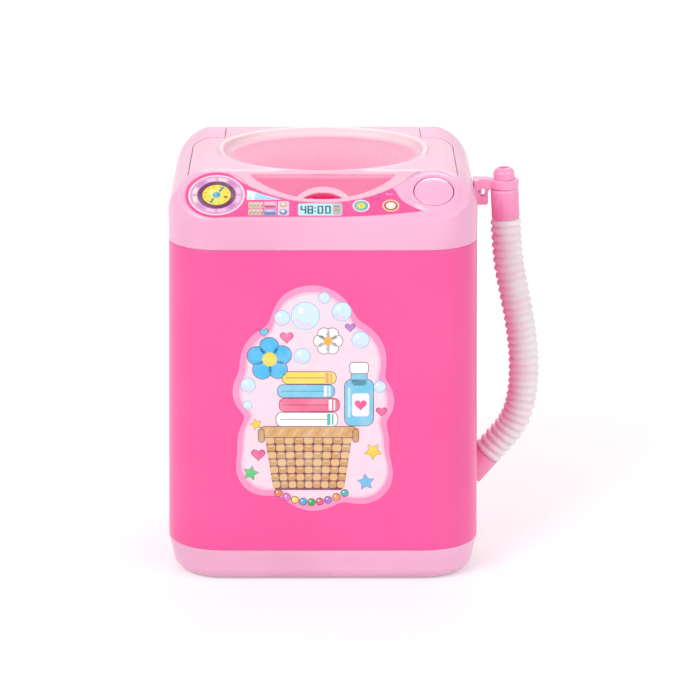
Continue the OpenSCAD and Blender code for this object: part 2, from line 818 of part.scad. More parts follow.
// Cover with console, deck, cup for the button and bosses underneath
module top_cover() {
    color([0.99, 0.73, 0.86]) difference() {
        union() {
            difference() {
                cover_block(0);
                difference() {
                    cover_block(wall);
                    pocket_block();
                }
                translate([0, 0, seam_z - 1]) linear_extrude(2) plan(wall);
            }
            intersection() {
                cover_block(0);
                union() {
                    translate([0, axis_y, 0]) bar(collar_z, deck_z, collar_r);
                    tub_bosses() bar(tub_top + ring_t, top_z, post_r);
                    four(top_post_x, top_post_y) bar(seam_z, top_z, post_r);
                    on_slope(button_x, button_s) bar(cup_end, 2, button_r + button_gap + cup_wall);
                    for (i = [-1, 1]) translate([i > 0 ? cheek_x : -cheek_x - cheek_l, hinge_y,
                        hinge_z]) along_x() cylinder(h = cheek_l, r = pin_r + 2.4);
                }
            }
            on_slope(button_x, button_s) bar(-2, boss_h, boss_r);
            cover_lip();
        }
        lid_pocket();
        translate([0, axis_y, 0]) {
            bar(tub_top, top_z, mouth_r);
            bar(tub_top, deck_z - deck_t, ring_in);
        }
        button_bore();
        tub_bosses() bar(tub_top, tub_top + tub_screw_l, screw_r + 0.02);
        four(top_post_x, top_post_y) bar(tab_z, tab_z + cover_screw_l + 1, screw_r + 0.02);
        translate([-cheek_x - pin_l - 0.3, hinge_y, hinge_z]) along_x()
            cylinder(h = 2 * (cheek_x + pin_l + 0.3), r = pin_r + run_gap);
        translate([half_w - 5, 0, bracket_screw_z]) along_x() cylinder(h = 10, r = screw_r + 0.1);
    }
}

// Lip of the cover inside the wall, and the feet of its corner bosses
module cover_lip() {
    difference() {
        union() {
            translate([0, 0, seam_z - lip_h]) linear_extrude(lip_h + 1) plan(wall + plug_gap);
            translate([0, 0, seam_z]) linear_extrude(2) plan(wall / 2);
        }
        translate([0, 0, seam_z - lip_h - 1]) linear_extrude(lip_h + 4)
            plan(wall + plug_gap + lip_t);
    }
    four(top_post_x, top_post_y) bar(tab_z + tab_t, seam_z + 1, post_r);
}

// Stepped bore for the cap, its stem and the switch
module button_bore() {
    on_slope(button_x, button_s) {
        bar(cup_floor, 5, button_r + button_gap);
        bar(cup_end - 1, 5, stem_r + run_gap);
        bar(cup_end - 1, cup_floor - cup_floor_t, button_r + button_gap + 0.2);
    }
}

// Printed label that fills the slope between lid and lower edge, with a round end at the dial
module label_plan() {
    right = button_x - label_tip;
    difference() {
        union() {
            translate([-dial_x, dial_s]) circle(dial_end_r);
            translate([-dial_x, 0]) square([dial_x + right, dial_s]);
            translate([label_neck - dial_x, 0]) square([dial_x - label_neck + right, label_high]);
        }
        translate([0, smile_c]) circle(smile_r + lid_gap + 0.3, $fn = 128);
        translate([button_x, button_s]) circle(boss_r + 0.3);
    }
}

module console_label() {
    color([0.97, 0.33, 0.63]) on_slope() linear_extrude(label_t) label_plan();
}

// Front sticker: a die cut outline of round lobes, tilted with the wall
decal_x = -3;
decal_z = 60.5;
decal_lobes = [
    [0, 0, 19], [-10, -14, 14], [9, -14, 15], [-10, 12, 13], [9, 13, 14], [0, 24, 13.4],
    [-15, -22, 9.5], [15, -24, 10.3], [0, -24, 12.5], [-16, 3, 9.4], [16, 0, 9.5], [-3, 27, 9.5]
];

module front_decal() {
    color([0.98, 0.83, 0.89]) translate([decal_x, -half_d - flare(decal_z), decal_z])
        rotate([90 - atan(wall_slope), 0, 0]) linear_extrude(label_t)
            for (l = decal_lobes) translate([l[0], l[1]]) circle(l[2]);
}

// Water tight tub that hangs under the cover
module wash_tub() {
    color([0.93, 0.93, 0.97]) translate([0, axis_y, 0]) difference() {
        union() {
            bar(tub_low, tub_top, tub_r);
            translate([0, 0, tub_top - flange_t]) linear_extrude(flange_t) rim_plan();
            translate([drain_x, -axis_y, 0]) bar(tub_low - 5, tub_low + 1, pipe_r - pipe_wall - run_gap);
            for (a = plate_post_a) rotate([0, 0, a]) translate([plate_post_r, 0, 0])
                bar(plate_z, tub_low + 1, post_r - 0.2);
        }
        difference() {
            bar(tub_floor, tub_top + 1, tub_r - tub_wall);
            bar(tub_floor - 1, tub_hub_z, tub_hub_r);
        }
        bar(tub_low - 1, tub_hub_z + 1, bush_r + run_gap);
        translate([drain_x, -axis_y, 0]) bar(tub_low - 6, tub_floor + 1, water_r + 0.5);
        for (a = plate_post_a) rotate([0, 0, a]) translate([plate_post_r, 0, 0])
            bar(plate_z - 1, tub_low + 0.5, screw_r + 0.02);
        translate([0, -axis_y, 0]) tub_bosses() bar(tub_top - 5, tub_top + 1, screw_r + 0.1);
    }
}

// Round rim with four ears, out to the bosses of the cover
module rim_plan() {
    circle(flange_r);
    translate([0, -axis_y]) tub_bosses() circle(ear_r);
    for (p = [front_boss, rear_boss], i = [-1, 1]) {
        d = [i * p[0], p[1] - axis_y];
        rotate([0, 0, atan2(d[1], d[0])]) translate([tub_r - 3, -ear_w / 2])
            square([norm(d) - tub_r + 3, ear_w]);
    }
}

module tub_ring() {
    color([0.9, 0.9, 0.95]) translate([0, axis_y, tub_top]) difference() {
        linear_extrude(ring_t) rim_plan();
        bar(-1, ring_t + 1, ring_in);
        translate([0, -axis_y, 0]) tub_bosses() bar(-1, ring_t + 1, screw_r + 0.1);
    }
}

module tub_gasket() {
    color([0.3, 0.3, 0.32]) translate([0, axis_y, 0])
        ring(tub_top + ring_t, collar_z, collar_r + 0.2, ring_in - 0.2);
}

module tub_screws() {
    color("silver") tub_bosses() translate([0, 0, tub_top - flange_t])
        screw(tub_screw_l);
}

// Flanged bush in the hub of the tub
module shaft_bush() {
    color([0.8, 0.75, 0.55]) translate([0, axis_y, 0]) difference() {
        union() {
            bar(tub_low - bush_head_t, tub_hub_z, bush_r);
            bar(tub_low - bush_head_t, tub_low, bush_head_r);
        }
        bar(tub_low - bush_head_t - 1, tub_hub_z + 1, shaft_r + run_gap);
    }
}

module shaft_seal() {
    color([0.25, 0.25, 0.27]) translate([0, axis_y, 0])
        ring(tub_hub_z, tub_hub_z + seal_t, tub_hub_r - 0.8, shaft_r + run_gap);
}

// Plate that carries the motor and the lower end of the drum shaft
module gear_plate() {
    color([0.85, 0.85, 0.88]) translate([0, axis_y, 0]) difference() {
        union() {
            bar(plate_z - plate_t, plate_z, plate_r);
            bar(plate_z - plate_t - 2, plate_z - 1, shaft_r + 1.6);
        }
        bar(plate_z - plate_t - 3, plate_z + 1, shaft_r + run_gap);
        for (a = plate_post_a) rotate([0, 0, a]) translate([plate_post_r, 0, 0])
            bar(plate_z - 5, plate_z + 1, screw_r + 0.1);
        translate([-gear_span, 0, 0]) {
            bar(plate_z - 5, plate_z + 1, motor_boss_r + 0.2);
            for (j = [-1, 1]) translate([0, j * motor_screw_s, 0])
                bar(plate_z - 5, plate_z + 1, motor_screw_r + 0.1);
        }
    }
}

module plate_screws() {
    color("silver") translate([0, axis_y, plate_z - plate_t]) for (a = plate_post_a)
        rotate([0, 0, a]) translate([plate_post_r, 0, 0]) screw(plate_screw_l);
}

// Plan of the motor with its two flats
module motor_plan(r) {
    intersection() {
        circle(r);
        square([3 * r, 2 * motor_flat * r / motor_r], center = true);
    }
}

module motor_can() {
    z0 = motor_face - motor_l;
    color([0.75, 0.76, 0.78]) translate([-gear_span, axis_y, 0]) difference() {
        union() {
            translate([0, 0, z0]) linear_extrude(motor_l) motor_plan(motor_r);
            bar(motor_face - 1, motor_face + 1.6, motor_boss_r);
        }
        bar(z0 - 1, motor_face + 3, motor_shaft_r + run_gap);
        for (j = [-1, 1]) translate([0, j * motor_screw_s, 0])
            bar(motor_face - motor_screw_in - 1, motor_face + 1, motor_screw_r + 0.02);
    }
}

module motor_end_cap() {
    z1 = motor_face - motor_l;
    color([0.93, 0.93, 0.9]) translate([-gear_span, axis_y, 0]) difference() {
        union() {
            translate([0, 0, z1 - motor_cap_l + 1.5]) linear_extrude(motor_cap_l - 1.5)
                motor_plan(motor_r - 0.3);
            bar(z1 - motor_cap_l, z1 - 1, 3);
        }
        bar(z1 - motor_cap_l + 1, z1 + 1, motor_shaft_r + run_gap);
    }
}

module motor_screws() {
    color("silver") translate([-gear_span, axis_y, plate_z]) for (j = [-1, 1])
        translate([0, j * motor_screw_s, 0]) mirror([0, 0, 1])
            screw(plate_t + motor_screw_in, motor_screw_r, 1.5, 0.7);
}

// Push switch in the sleeve under the button
module switch_body() {
    color([0.95, 0.95, 0.93]) on_slope(button_x, button_s) difference() {
        translate([-switch_w / 2, -switch_w / 2, cup_end])
            cube([switch_w, switch_w, switch_top - cup_end]);
        bar(stem_end - button_travel - 0.3, switch_top + 1, stem_r + 0.3);
    }
}

module button_spring() {
    color("silver") on_slope(button_x, button_s) translate([0, 0, cup_floor])
        coil(cap_low - cup_floor, stem_r + 1.3, 0.3, 2);
}

// Drain pipe: down from the tub, round one bend, to the outlet
module drain_pipe() {
    color([0.85, 0.88, 0.92]) difference() {
        pipe_run(pipe_r, 0);
        pipe_run(pipe_r - pipe_wall, 1);
    }
}

module pipe_run(r, over) {
    x1 = outlet_in - socket_t;
    translate([drain_x, 0, 0]) bar(outlet_z + pipe_bend, tub_low + over, r);
    translate([drain_x + pipe_bend, 0, outlet_z + pipe_bend]) rotate([90, 0, 0])
        rotate([0, 0, 180]) rotate_extrude(angle = 90) translate([pipe_bend, 0]) circle(r);
    translate([drain_x + pipe_bend, 0, outlet_z]) along_x()
        cylinder(h = x1 - drain_x - pipe_bend + over, r = r);
}

// Bush in the right wall, in which the elbow of the hose turns
module outlet_bush() {
    x0 = outlet_in - socket_t;
    color([0.95, 0.6, 0.78]) translate([0, 0, outlet_z]) difference() {
        union() {
            translate([x0 - socket_l, 0, 0]) along_x()
                cylinder(h = socket_l + 1, r = pipe_r - pipe_wall - run_gap);
            translate([x0, 0, 0]) along_x() cylinder(h = socket_t - 0.1, r = pipe_r + socket_rim);
            translate([x0, 0, 0]) along_x() cylinder(h = outlet_out - x0, r = pipe_r);
        }
        translate([x0 - socket_l - 1, 0, 0]) along_x()
            cylinder(h = outlet_out - x0 + socket_l + 2, r = spigot_r + run_gap);
    }
}

// Frame along the slanted end of the elbow, Z along the hose
module on_elbow() {
    translate([elbow_x, 0, outlet_z]) rotate([0, 90 - elbow_a, 0]) children();
}

// Elbow: a spigot that turns in the wall and a slanted stub that the hose is pushed on
module outlet_elbow() {
    color([0.96, 0.62, 0.8]) difference() {
        union() {
            translate([outlet_in - socket_l, 0, outlet_z]) along_x()
                cylinder(h = elbow_x - outlet_in + socket_l, r = spigot_r);
            difference() {
                on_elbow() bar(-5, elbow_reach, elbow_r);
                translate([0, -10, 0]) cube([outlet_out + elbow_gap, 20, 60]);
            }
            on_elbow() bar(-1, elbow_reach + nipple_l, hose_bore_r * cos(180 / hose_sides) - 0.03);
        }
        translate([outlet_in - socket_l - 1, 0, outlet_z]) along_x()
            cylinder(h = elbow_x - outlet_in + socket_l + 1, r = water_r);
        on_elbow() bar(-0.6, elbow_reach + nipple_l + 1, water_r);
        translate([0, -10, 0]) cube([outlet_in - socket_l, 20, 60]);
    }
}

// Ribbed hose as one closed tube: two rings of eight points for each rib, and its bore
module drain_hose() {
    sides = hose_sides;
    last = len(hose_route) - 1;
    n = 2 * rib_count;
    route = [for (q = hose_route) [q[0], 0, q[1]]];
    at = [for (i = [0:n]) route_point(route, last * i / n)];
    dirs = [for (i = [0:n]) i == 0 ? unit(route[1] - route[0])
        : i == n ? unit(route[last] - route[last - 1]) : unit(at[i + 1] - at[i - 1])];
    crest = [for (i = [0:n]) i % 2 == 0 ? hose_r - rib_depth : hose_r];
    outer = flat_list([for (i = [0:n]) tube_ring(at[i], dirs[i], [0, 1, 0], crest[i], sides)]);
    inner = flat_list([for (i = [0:n]) tube_ring(at[i], dirs[i], [0, 1, 0], hose_bore_r, sides)]);
    m = (n + 1) * sides;
    color([0.95, 0.82, 0.88]) polyhedron(points = concat(outer, inner), faces = concat(
        flat_list([for (i = [0:n - 1]) band(sides * (i + 1), sides * i, sides)]),
        flat_list([for (i = [0:n - 1]) band(m + sides * i, m + sides * (i + 1), sides)]),
        band(0, m, sides), band(m + sides * n, sides * n, sides)));
}

// Frame along the nozzle, Z up through its nose
module on_nozzle() {
    translate([hose_end[0], 0, hose_end[1]]) rotate([0, -nozzle_a, 0]) children();
}

module hose_nozzle() {
    color([0.98, 0.55, 0.75]) on_nozzle() rotate_extrude() difference() {
        polygon([[0, 0], [sleeve_r, 0], [sleeve_r, sleeve_l - 0.8], [sleeve_r - 0.8, sleeve_l],
            [nose_r, sleeve_l], [nose_r, nose_l - 0.8], [nose_r - 0.8, nose_l], [0, nose_l]]);
        translate([-1, -1]) square([1 + hose_bore_r - 0.5, sleeve_l - 1]);
        translate([-1, -1]) square([1 + nose_hole_r, nose_l + 2]);
    }
}

// Arm on the right side of the cover with an open ring for the nozzle's nose
module hose_bracket() {
    color([0.98, 0.6, 0.78]) difference() {
        union() {
            translate([half_w, -pad_w / 2, arm_low]) cube([pad_t, pad_w, arm_h]);
            translate([half_w, -arm_t / 2, arm_low]) cube([arm_w, arm_t, arm_h]);
            translate([half_w, -arm_t / 2, clip_z]) cube([clip_x - half_w, arm_t, clip_h]);
            translate([clip_x, 0, clip_z]) cylinder(h = clip_h, r = clip_in_r + clip_wall);
        }
        on_nozzle() bar(0, nose_l + 3, clip_in_r);
        translate([clip_x - clip_in_r, 0, clip_z - 1]) cube([2 * clip_in_r, 10, clip_h + 2]);
        translate([half_w + (arm_w + pad_t - arm_slot_w) / 2, -pad_w / 2,
            clip_z - 1.2 - arm_slot_h / 2]) cube([arm_slot_w, pad_w, arm_slot_h]);
        translate([half_w - 1, 0, bracket_screw_z]) along_x()
            cylinder(h = bracket_screw_l - wall + 1.3, r = screw_r + 0.02);
        translate([half_w + 1.7, pad_w / 2, arm_low + 4.5]) rotate([90, 0, 0])
            cylinder(h = pad_w, r = 0.4);
    }
}

module bracket_screw() {
    color("silver") translate([half_w - wall, 0, bracket_screw_z]) along_x() screw(bracket_screw_l);
}

// Point under the console, from its place in the frame of the slope
function slope_at(x, v, n) = [x, (v + label_edge) * cos(slope_a) - n * sin(slope_a) - half_d,
    (v + label_edge) * sin(slope_a) + n * cos(slope_a) + slope_z];

// Leads held inside all the way: cells to switch, switch to motor, motor to cells
module wiring() {
    cx = half_w - 9.5;
    cy = 13 - half_d;
    xa = box_l / 2 + box_wall + 0.1;
    mx = -gear_span;
    mz = motor_face - motor_l - motor_cap_l + 1.45;
    sv = button_s - 3.3;
    routes = [
        [[xa, box_y - cell_s, 9], [xa + 2, 11.6, 9], [xa + 4, 6, 9], [xa + 6, -5, 11],
            [cx + 1, -18, 16], [cx + 2, cy, 26], [cx + 2, cy, seam_z / 2 + 5], [cx + 2, cy, seam_z - 17],
            [cx, cy + 1, seam_z - 6],
            slope_at(button_x + 2, sv, cup_end - 1.8), slope_at(button_x + 2, sv, cup_end - 0.15)],
        [slope_at(button_x - 2, sv, cup_end - 0.15), slope_at(button_x - 2, sv, cup_end - 1.8),
            [cx - 3, cy + 1, seam_z - 6], [cx - 1, cy, seam_z - 17], [cx - 1, cy, seam_z / 2 + 5],
            [cx - 1, cy, 34],
            [28, -22, 24], [8, -13, 20], [mx + 5, -2, 19], [mx + 4, 0, mz - 1.9], [mx + 4, 0.2, mz]],
        [[mx - 4, 3, mz], [mx - 4, 2.8, mz - 1.9], [mx - 3, -3, 17], [mx + 8, -8, 13], [12, -9, 8],
            [26, -4, 6], [xa + 5, 2, 6], [xa + 8.6, 12, 7], [xa + 8.4, 21, 8], [xa + 4, 27, 9],
            [xa, box_y + cell_s, 9]]
    ];
    tints = [[0.85, 0.15, 0.15], [0.2, 0.3, 0.8], [0.15, 0.15, 0.15]];
    for (i = [0:2]) {
        last = len(routes[i]) - 1;
        color(tints[i]) rod([for (k = [0:3 * last]) route_point(routes[i], k / 3)],
            0.55, 6, [0.3, 1, 0.2]);
    }
}

// Lid: a skin that follows the cover, with dish, rim, scoop, barrel and pins
module lid() {
    color([0.99, 0.82, 0.91]) difference() {
        union() {
            difference() {
                intersection() {
                    cover_block(0);
                    lid_space(0, 0, 20, 20);
                }
                cover_block(lid_t);
                translate([-half_w, 0, seam_z - 1]) cube([body_w, body_d, hinge_z - seam_z + 1]);
            }
            intersection() {
                cover_block(0);
                union() {
                    oval(dish_a + 1.4, dish_b + 1.4, dish_z - dish_t, top_z);
                    on_slope() translate([0, 0, -scoop_drop - scoop_t])
                        linear_extrude(scoop_drop + scoop_t) intersection() {
                            scoop_plan(-scoop_t);
                            apron_plan(0);
                        }
                }
            }
            intersection() {
                oval(dish_a + rim_w, dish_b + rim_w, dish_z, top_z + rim_h);
                translate([-half_w, brow_y - 0.4, 0]) cube([body_w, body_d, top_z + 5]);
            }
            translate([-barrel_half, hinge_y, hinge_z]) along_x()
                cylinder(h = 2 * barrel_half, r = barrel_r);
            translate([-barrel_half - pin_l, hinge_y, hinge_z]) along_x()
                cylinder(h = 2 * (barrel_half + pin_l), r = pin_r);
        }
        oval(dish_a, dish_b, dish_z, top_z + 5);
        on_slope() translate([0, 0, -scoop_drop]) linear_extrude(10) difference() {
            scoop_plan(0);
            arch(8, 5.3);
        }
        on_slope() translate([0, 0, -8]) linear_extrude(16) arch(notch_w, notch_h);
        lid_keepout(lid_gap);
    }
}

// Button cap with its stem, and the ring that keeps it in
module power_button() {
    color([0.98, 0.7, 0.84]) on_slope(button_x, button_s) {
        rotate_extrude() polygon(concat([[0, stem_end], [stem_r, stem_end], [stem_r, cap_low],
            [button_r, cap_low], [button_r, cap_top - 0.8]],
            [for (a = [20:10:90]) [button_r * cos(a), cap_top - 1.15 + 1.15 * sin(a)]]));
    }
}

module button_clip() {
    z1 = cup_floor - cup_floor_t - seat_gap;
    color("silver") on_slope(button_x, button_s) ring(z1 - clip_t, z1, clip_r, stem_r + 0.02);
}

// Perforated basket that turns inside the tub
module spin_basket() {
    color([0.95, 0.95, 0.98]) translate([0, axis_y, 0]) difference() {
        union() {
            bar(basket_low, basket_top, basket_r);
            bar(tub_hub_z + seal_t + 0.3, basket_low + 1, 5);
        }
        bar(basket_low + basket_floor_t, basket_top + 1, basket_r - basket_wall);
        bar(tub_hub_z, basket_low + 5, shaft_r + 0.02);
        for (k = [0:basket_holes - 1], j = [0, 1]) rotate([0, 0, (k + j / 2) * 360 / basket_holes])
            translate([basket_r - 4, 0, basket_low + 14 + j * 16]) along_x()
                cylinder(h = 8, r = basket_hole_r, $fn = 24);
        for (k = [0:7]) rotate([0, 0, k * 45]) translate([agitator_r + 2.2, 0, 0])
            bar(basket_low - 1, basket_low + 3, 1);
    }
}

// Agitator: low disc, tall cone and fins
module agitator() {
    z = agitator_low;
    color([0.97, 0.6, 0.78]) translate([0, axis_y, 0]) difference() {
        union() {
            rotate_extrude() polygon([[0, z], [agitator_r, z], [agitator_r, z + 1.2], [10, z + 3.4],
                [7.5, z + 8], [5.5, z + agitator_h - 2], [5.5, z + agitator_h], [0, z + agitator_h]]);
            for (k = [0:fins - 1]) rotate([0, 0, k * 360 / fins]) translate([0, 1, z]) rotate([90, 0, 0])
                linear_extrude(2) polygon([[0, 0.5], [agitator_r - 1, 0.5], [agitator_r - 1, 2.5],
                    [16, 6], [8, 14], [5, 16], [0, 16]]);
        }
        bar(z - 1, z + agitator_h + 1, shaft_r + 0.02);
    }
}

module agitator_nut() {
    color([0.95, 0.45, 0.68]) translate([0, axis_y, nut_z]) rotate_extrude() difference() {
        polygon([[0, 0], [4.6, 0], [4.6, nut_h / 2], [3.6, nut_h - 0.7], [2, nut_h], [0, nut_h]]);
        square([shaft_r + 0.02, nut_h - 1.2]);
    }
}

module drum_shaft() {
    color("silver") translate([0, axis_y, 0]) bar(plate_z - plate_t - 2, nut_z + nut_h - 1.4, shaft_r);
}

module drum_gear() {
    color([0.95, 0.95, 0.85]) translate([0, axis_y, gear_z]) difference() {
        linear_extrude(gear_t) gear_teeth(drum_teeth, 0);
        translate([0, 0, -1]) cylinder(h = gear_t + 2, r = shaft_r + 0.02);
    }
}

module motor_shaft() {
    color("silver") translate([-gear_span, axis_y, 0])
        bar(motor_face - motor_l - 3, gear_z + gear_t + 0.4, motor_shaft_r);
}

module motor_pinion() {
    color([0.95, 0.95, 0.85]) translate([-gear_span, axis_y, gear_z]) difference() {
        linear_extrude(gear_t) gear_teeth(pinion_teeth, 180 / pinion_teeth);
        translate([0, 0, -1]) cylinder(h = gear_t + 2, r = motor_shaft_r + 0.02);
    }
}

base_tray();
battery_door();
door_screw();
battery_cell_1();
battery_cell_2();
battery_contacts();
battery_springs();
base_screws();
body_shell();
cover_screws();
top_cover();
console_label();
front_decal();
wash_tub();
tub_ring();
tub_gasket();
tub_screws();
shaft_bush();
shaft_seal();
gear_plate();
plate_screws();
motor_can();
motor_end_cap();
motor_screws();
switch_body();
button_spring();
drain_pipe();
outlet_bush();
hose_bracket();
bracket_screw();
wiring();
lid();
power_button();
button_clip();
spin_basket();
agitator();
agitator_nut();
drum_shaft();
drum_gear();
motor_shaft();
motor_pinion();
outlet_elbow();
drain_hose();
hose_nozzle();
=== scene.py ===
import math
from functools import reduce

import bpy
import numpy as np
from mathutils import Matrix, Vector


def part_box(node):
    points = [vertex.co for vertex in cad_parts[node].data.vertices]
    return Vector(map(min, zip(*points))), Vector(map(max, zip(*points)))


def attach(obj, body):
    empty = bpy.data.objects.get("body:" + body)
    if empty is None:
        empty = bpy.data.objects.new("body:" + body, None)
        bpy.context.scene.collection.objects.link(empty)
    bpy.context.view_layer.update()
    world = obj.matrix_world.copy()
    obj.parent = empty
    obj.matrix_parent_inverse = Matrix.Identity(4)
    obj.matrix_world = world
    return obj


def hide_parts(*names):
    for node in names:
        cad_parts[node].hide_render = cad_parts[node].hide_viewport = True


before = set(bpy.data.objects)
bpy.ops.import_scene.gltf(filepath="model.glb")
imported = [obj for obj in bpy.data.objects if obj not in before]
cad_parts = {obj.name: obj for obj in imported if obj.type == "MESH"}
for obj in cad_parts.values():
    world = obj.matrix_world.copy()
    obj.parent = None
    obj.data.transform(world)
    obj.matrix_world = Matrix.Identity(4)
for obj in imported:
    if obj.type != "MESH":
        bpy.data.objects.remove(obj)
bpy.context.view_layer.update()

# ---- Camera, floor and light --------------------------------------------------------------
# The machine stands on a pale table in front of a photographer's soft white sweep. The camera
# is about a metre away and looks a little down, so that the console and the lid's dish show.
IMAGE_PX = 680
FOCAL_PX = 3000
SENSOR_MM = 36
LOOK_DOWN = math.radians(16.9)
OBJECT_U = 322.96
CAMERA_PLACE = (0, -0.92894, 0.3495)

camera = bpy.data.objects.new("camera", bpy.data.cameras.new("camera"))
camera.data.sensor_width = SENSOR_MM
camera.data.lens = SENSOR_MM * FOCAL_PX / IMAGE_PX
camera.data.shift_x = (IMAGE_PX / 2 - OBJECT_U) / IMAGE_PX
camera.data.clip_start, camera.data.clip_end = 0.05, 10
camera.location = CAMERA_PLACE
camera.rotation_euler = (math.pi / 2 - LOOK_DOWN, 0, 0)
bpy.context.scene.collection.objects.link(camera)
bpy.context.scene.camera = camera
bpy.context.scene.view_settings.view_transform = "Standard"


class Wire:
    """A node's output that can be used in a sum, so that shader maths reads as Python."""

    def __init__(self, finish, socket):
        self.finish, self.socket = finish, socket

    def sum(self, how, *values):
        return self.finish.node("ShaderNodeMath", {"operation": how}, dict(enumerate(values)))

    def __add__(self, other):
        return self.sum("ADD", self, other)

    def __sub__(self, other):
        return self.sum("SUBTRACT", self, other)

    def __rsub__(self, other):
        return self.sum("SUBTRACT", other, self)

    def __mul__(self, other):
        return self.sum("MULTIPLY", self, other)

    def __truediv__(self, other):
        return self.sum("DIVIDE", self, other)

    __radd__, __rmul__ = __add__, __mul__

    def top(self, other):
        return self.sum("MAXIMUM", self, other)

    def step(self, low, high):
        """0 below low, 1 above high and smooth between them."""
        return self.finish.node("ShaderNodeMapRange", {"interpolation_type": "SMOOTHSTEP"},
                                {"Value": self, "From Min": low, "From Max": high})


class Finish:
    """A material and the calls that lay its nodes."""

    def __init__(self, name):
        self.material = bpy.data.materials.new(name)
        self.material.use_nodes = True
        self.tree = self.material.node_tree
        self.tree.nodes.clear()

    def node(self, kind, settings=(), values=(), out=0):
        made = self.tree.nodes.new(kind)
        for key, value in dict(settings).items():
            setattr(made, key, value)
        for key, value in dict(values).items():
            if isinstance(value, Wire):
                self.tree.links.new(value.socket, made.inputs[key])
            else:
                made.inputs[key].default_value = value
        return Wire(self, made.outputs[out])

    def shader(self, **values):
        return self.node("ShaderNodeBsdfPrincipled", (),
                         {key.replace("_", " "): value for key, value in values.items()})

    def mix(self, share, first, second):
        return self.node("ShaderNodeMix", {"data_type": "RGBA"}, {0: share, 6: first, 7: second}, 2)

    def place(self):
        return self.node("ShaderNodeTexCoord", (), (), "Object")

    def mark(self, name, out="Fac"):
        """What a piece keeps for each of its points or corners under a name."""
        return self.node("ShaderNodeAttribute", {"attribute_name": name}, (), out)

    def noise(self, scale, detail, rough=0.5, at=None):
        return self.node("ShaderNodeTexNoise", (), {
            "Vector": at or self.place(), "Scale": scale, "Detail": detail, "Roughness": rough})

    def bump(self, height, depth, strength=1.0):
        return self.node("ShaderNodeBump", (), {"Height": height, "Distance": depth, "Strength": strength})

    def done(self, surface):
        end = self.tree.nodes.new("ShaderNodeOutputMaterial")
        self.tree.links.new(surface.socket, end.inputs["Surface"])
        return self.material


def ink(red, green, blue):
    """A colour given as it is seen on a screen, from 0 to 255."""
    def level(v):
        v /= 255
        return v / 12.92 if v <= 0.04045 else ((v + 0.055) / 1.055) ** 2.4
    return (level(red), level(green), level(blue), 1)


def toned(colour, share, lift=0.0):
    """A colour made darker or lighter."""
    return tuple(min(1, c * share + lift) for c in colour[:3]) + (1,)


def seen_rays(finish):
    """1 for rays from the camera or by way of glossy or clear things, else 0."""
    ray = {out: finish.node("ShaderNodeLightPath", (), (), out)
           for out in ("Is Camera Ray", "Is Glossy Ray", "Is Transmission Ray")}
    return ray["Is Camera Ray"].top(ray["Is Glossy Ray"]).top(ray["Is Transmission Ray"])


def table_finish():
    finish = Finish("pale_table")
    paint = finish.shader(Base_Color=(0.8, 0.8, 0.8, 1), Roughness=0.7, Specular_IOR_Level=0.2)
    glow = finish.node("ShaderNodeEmission", (), {
        "Color": (1, 1, 1, 1), "Strength": seen_rays(finish) * 0.3})
    return finish.done(finish.node("ShaderNodeAddShader", (), {0: paint, 1: glow}))


def sheet_mesh(name, points, faces):
    mesh = bpy.data.meshes.new(name)
    mesh.from_pydata(points, [], faces)
    made = bpy.data.objects.new(name, mesh)
    bpy.context.scene.collection.objects.link(made)
    return made


TABLE_M = 3.0
table = sheet_mesh("table", [(TABLE_M * i, TABLE_M * j, 0)
                             for i, j in ((-1, -1), (1, -1), (1, 1), (-1, 1))], [(0, 1, 2, 3)])
table.data.materials.append(table_finish())

world = bpy.data.worlds.new("white_sweep")
bpy.context.scene.world = world
world.use_nodes = True
sky = Finish("sky_nodes")
bpy.data.materials.remove(sky.material)
sky.tree = world.node_tree
sky.tree.nodes.clear()
room = sky.node("ShaderNodeBackground", (), {
    "Color": (1, 1, 1, 1), "Strength": seen_rays(sky) * 0.45 + 0.55})
sky.tree.links.new(room.socket, sky.tree.nodes.new("ShaderNodeOutputWorld").inputs["Surface"])


def softbox(name, place, aim, size, watts):
    lamp = bpy.data.objects.new(name, bpy.data.lights.new(name, "AREA"))
    lamp.data.shape, lamp.data.size, lamp.data.energy = "SQUARE", size, watts
    lamp.location = place
    lamp.rotation_euler = (Vector(aim) - Vector(place)).to_track_quat("-Z", "Y").to_euler()
    bpy.context.scene.collection.objects.link(lamp)


MIDDLE = (0, 0, 0.07)
softbox("key_softbox", (-0.75, -0.9, 0.95), MIDDLE, 0.7, 9)
softbox("fill_softbox", (1.0, -0.7, 0.55), MIDDLE, 0.8, 4)
softbox("back_softbox", (0.1, 0.9, 0.9), MIDDLE, 0.6, 4)

# ---- Drain hose ---------------------------------------------------------------------------
# A short ribbed hose of soft milky plastic, blow moulded with 34 round ribs. Its foot is pushed
# on the elbow's nipple and its end is stuck in the nozzle's sleeve. It bows out in one arc.
MM = 0.001
HOSE_ROUTE = [
    (53.4, 28.6), (56.6, 32.4), (59.8, 36.3), (62.2, 40.2), (63.9, 44.8),
    (64.9, 50.4), (65.2, 56.4), (65.0, 62.6), (64.3, 69.0), (63.3, 75.4),
    (62.0, 81.8), (60.7, 88.0), (59.8, 92.7), (59.2, 98.0), (58.75, 103.1), (58.45, 108.1)]
HOSE_R = 5.0
HOSE_BORE = 3.5
RIBS = 34
RIB_DEPTH = 0.75
HOSE_SIDES = 40
RINGS_A_RIB = 8


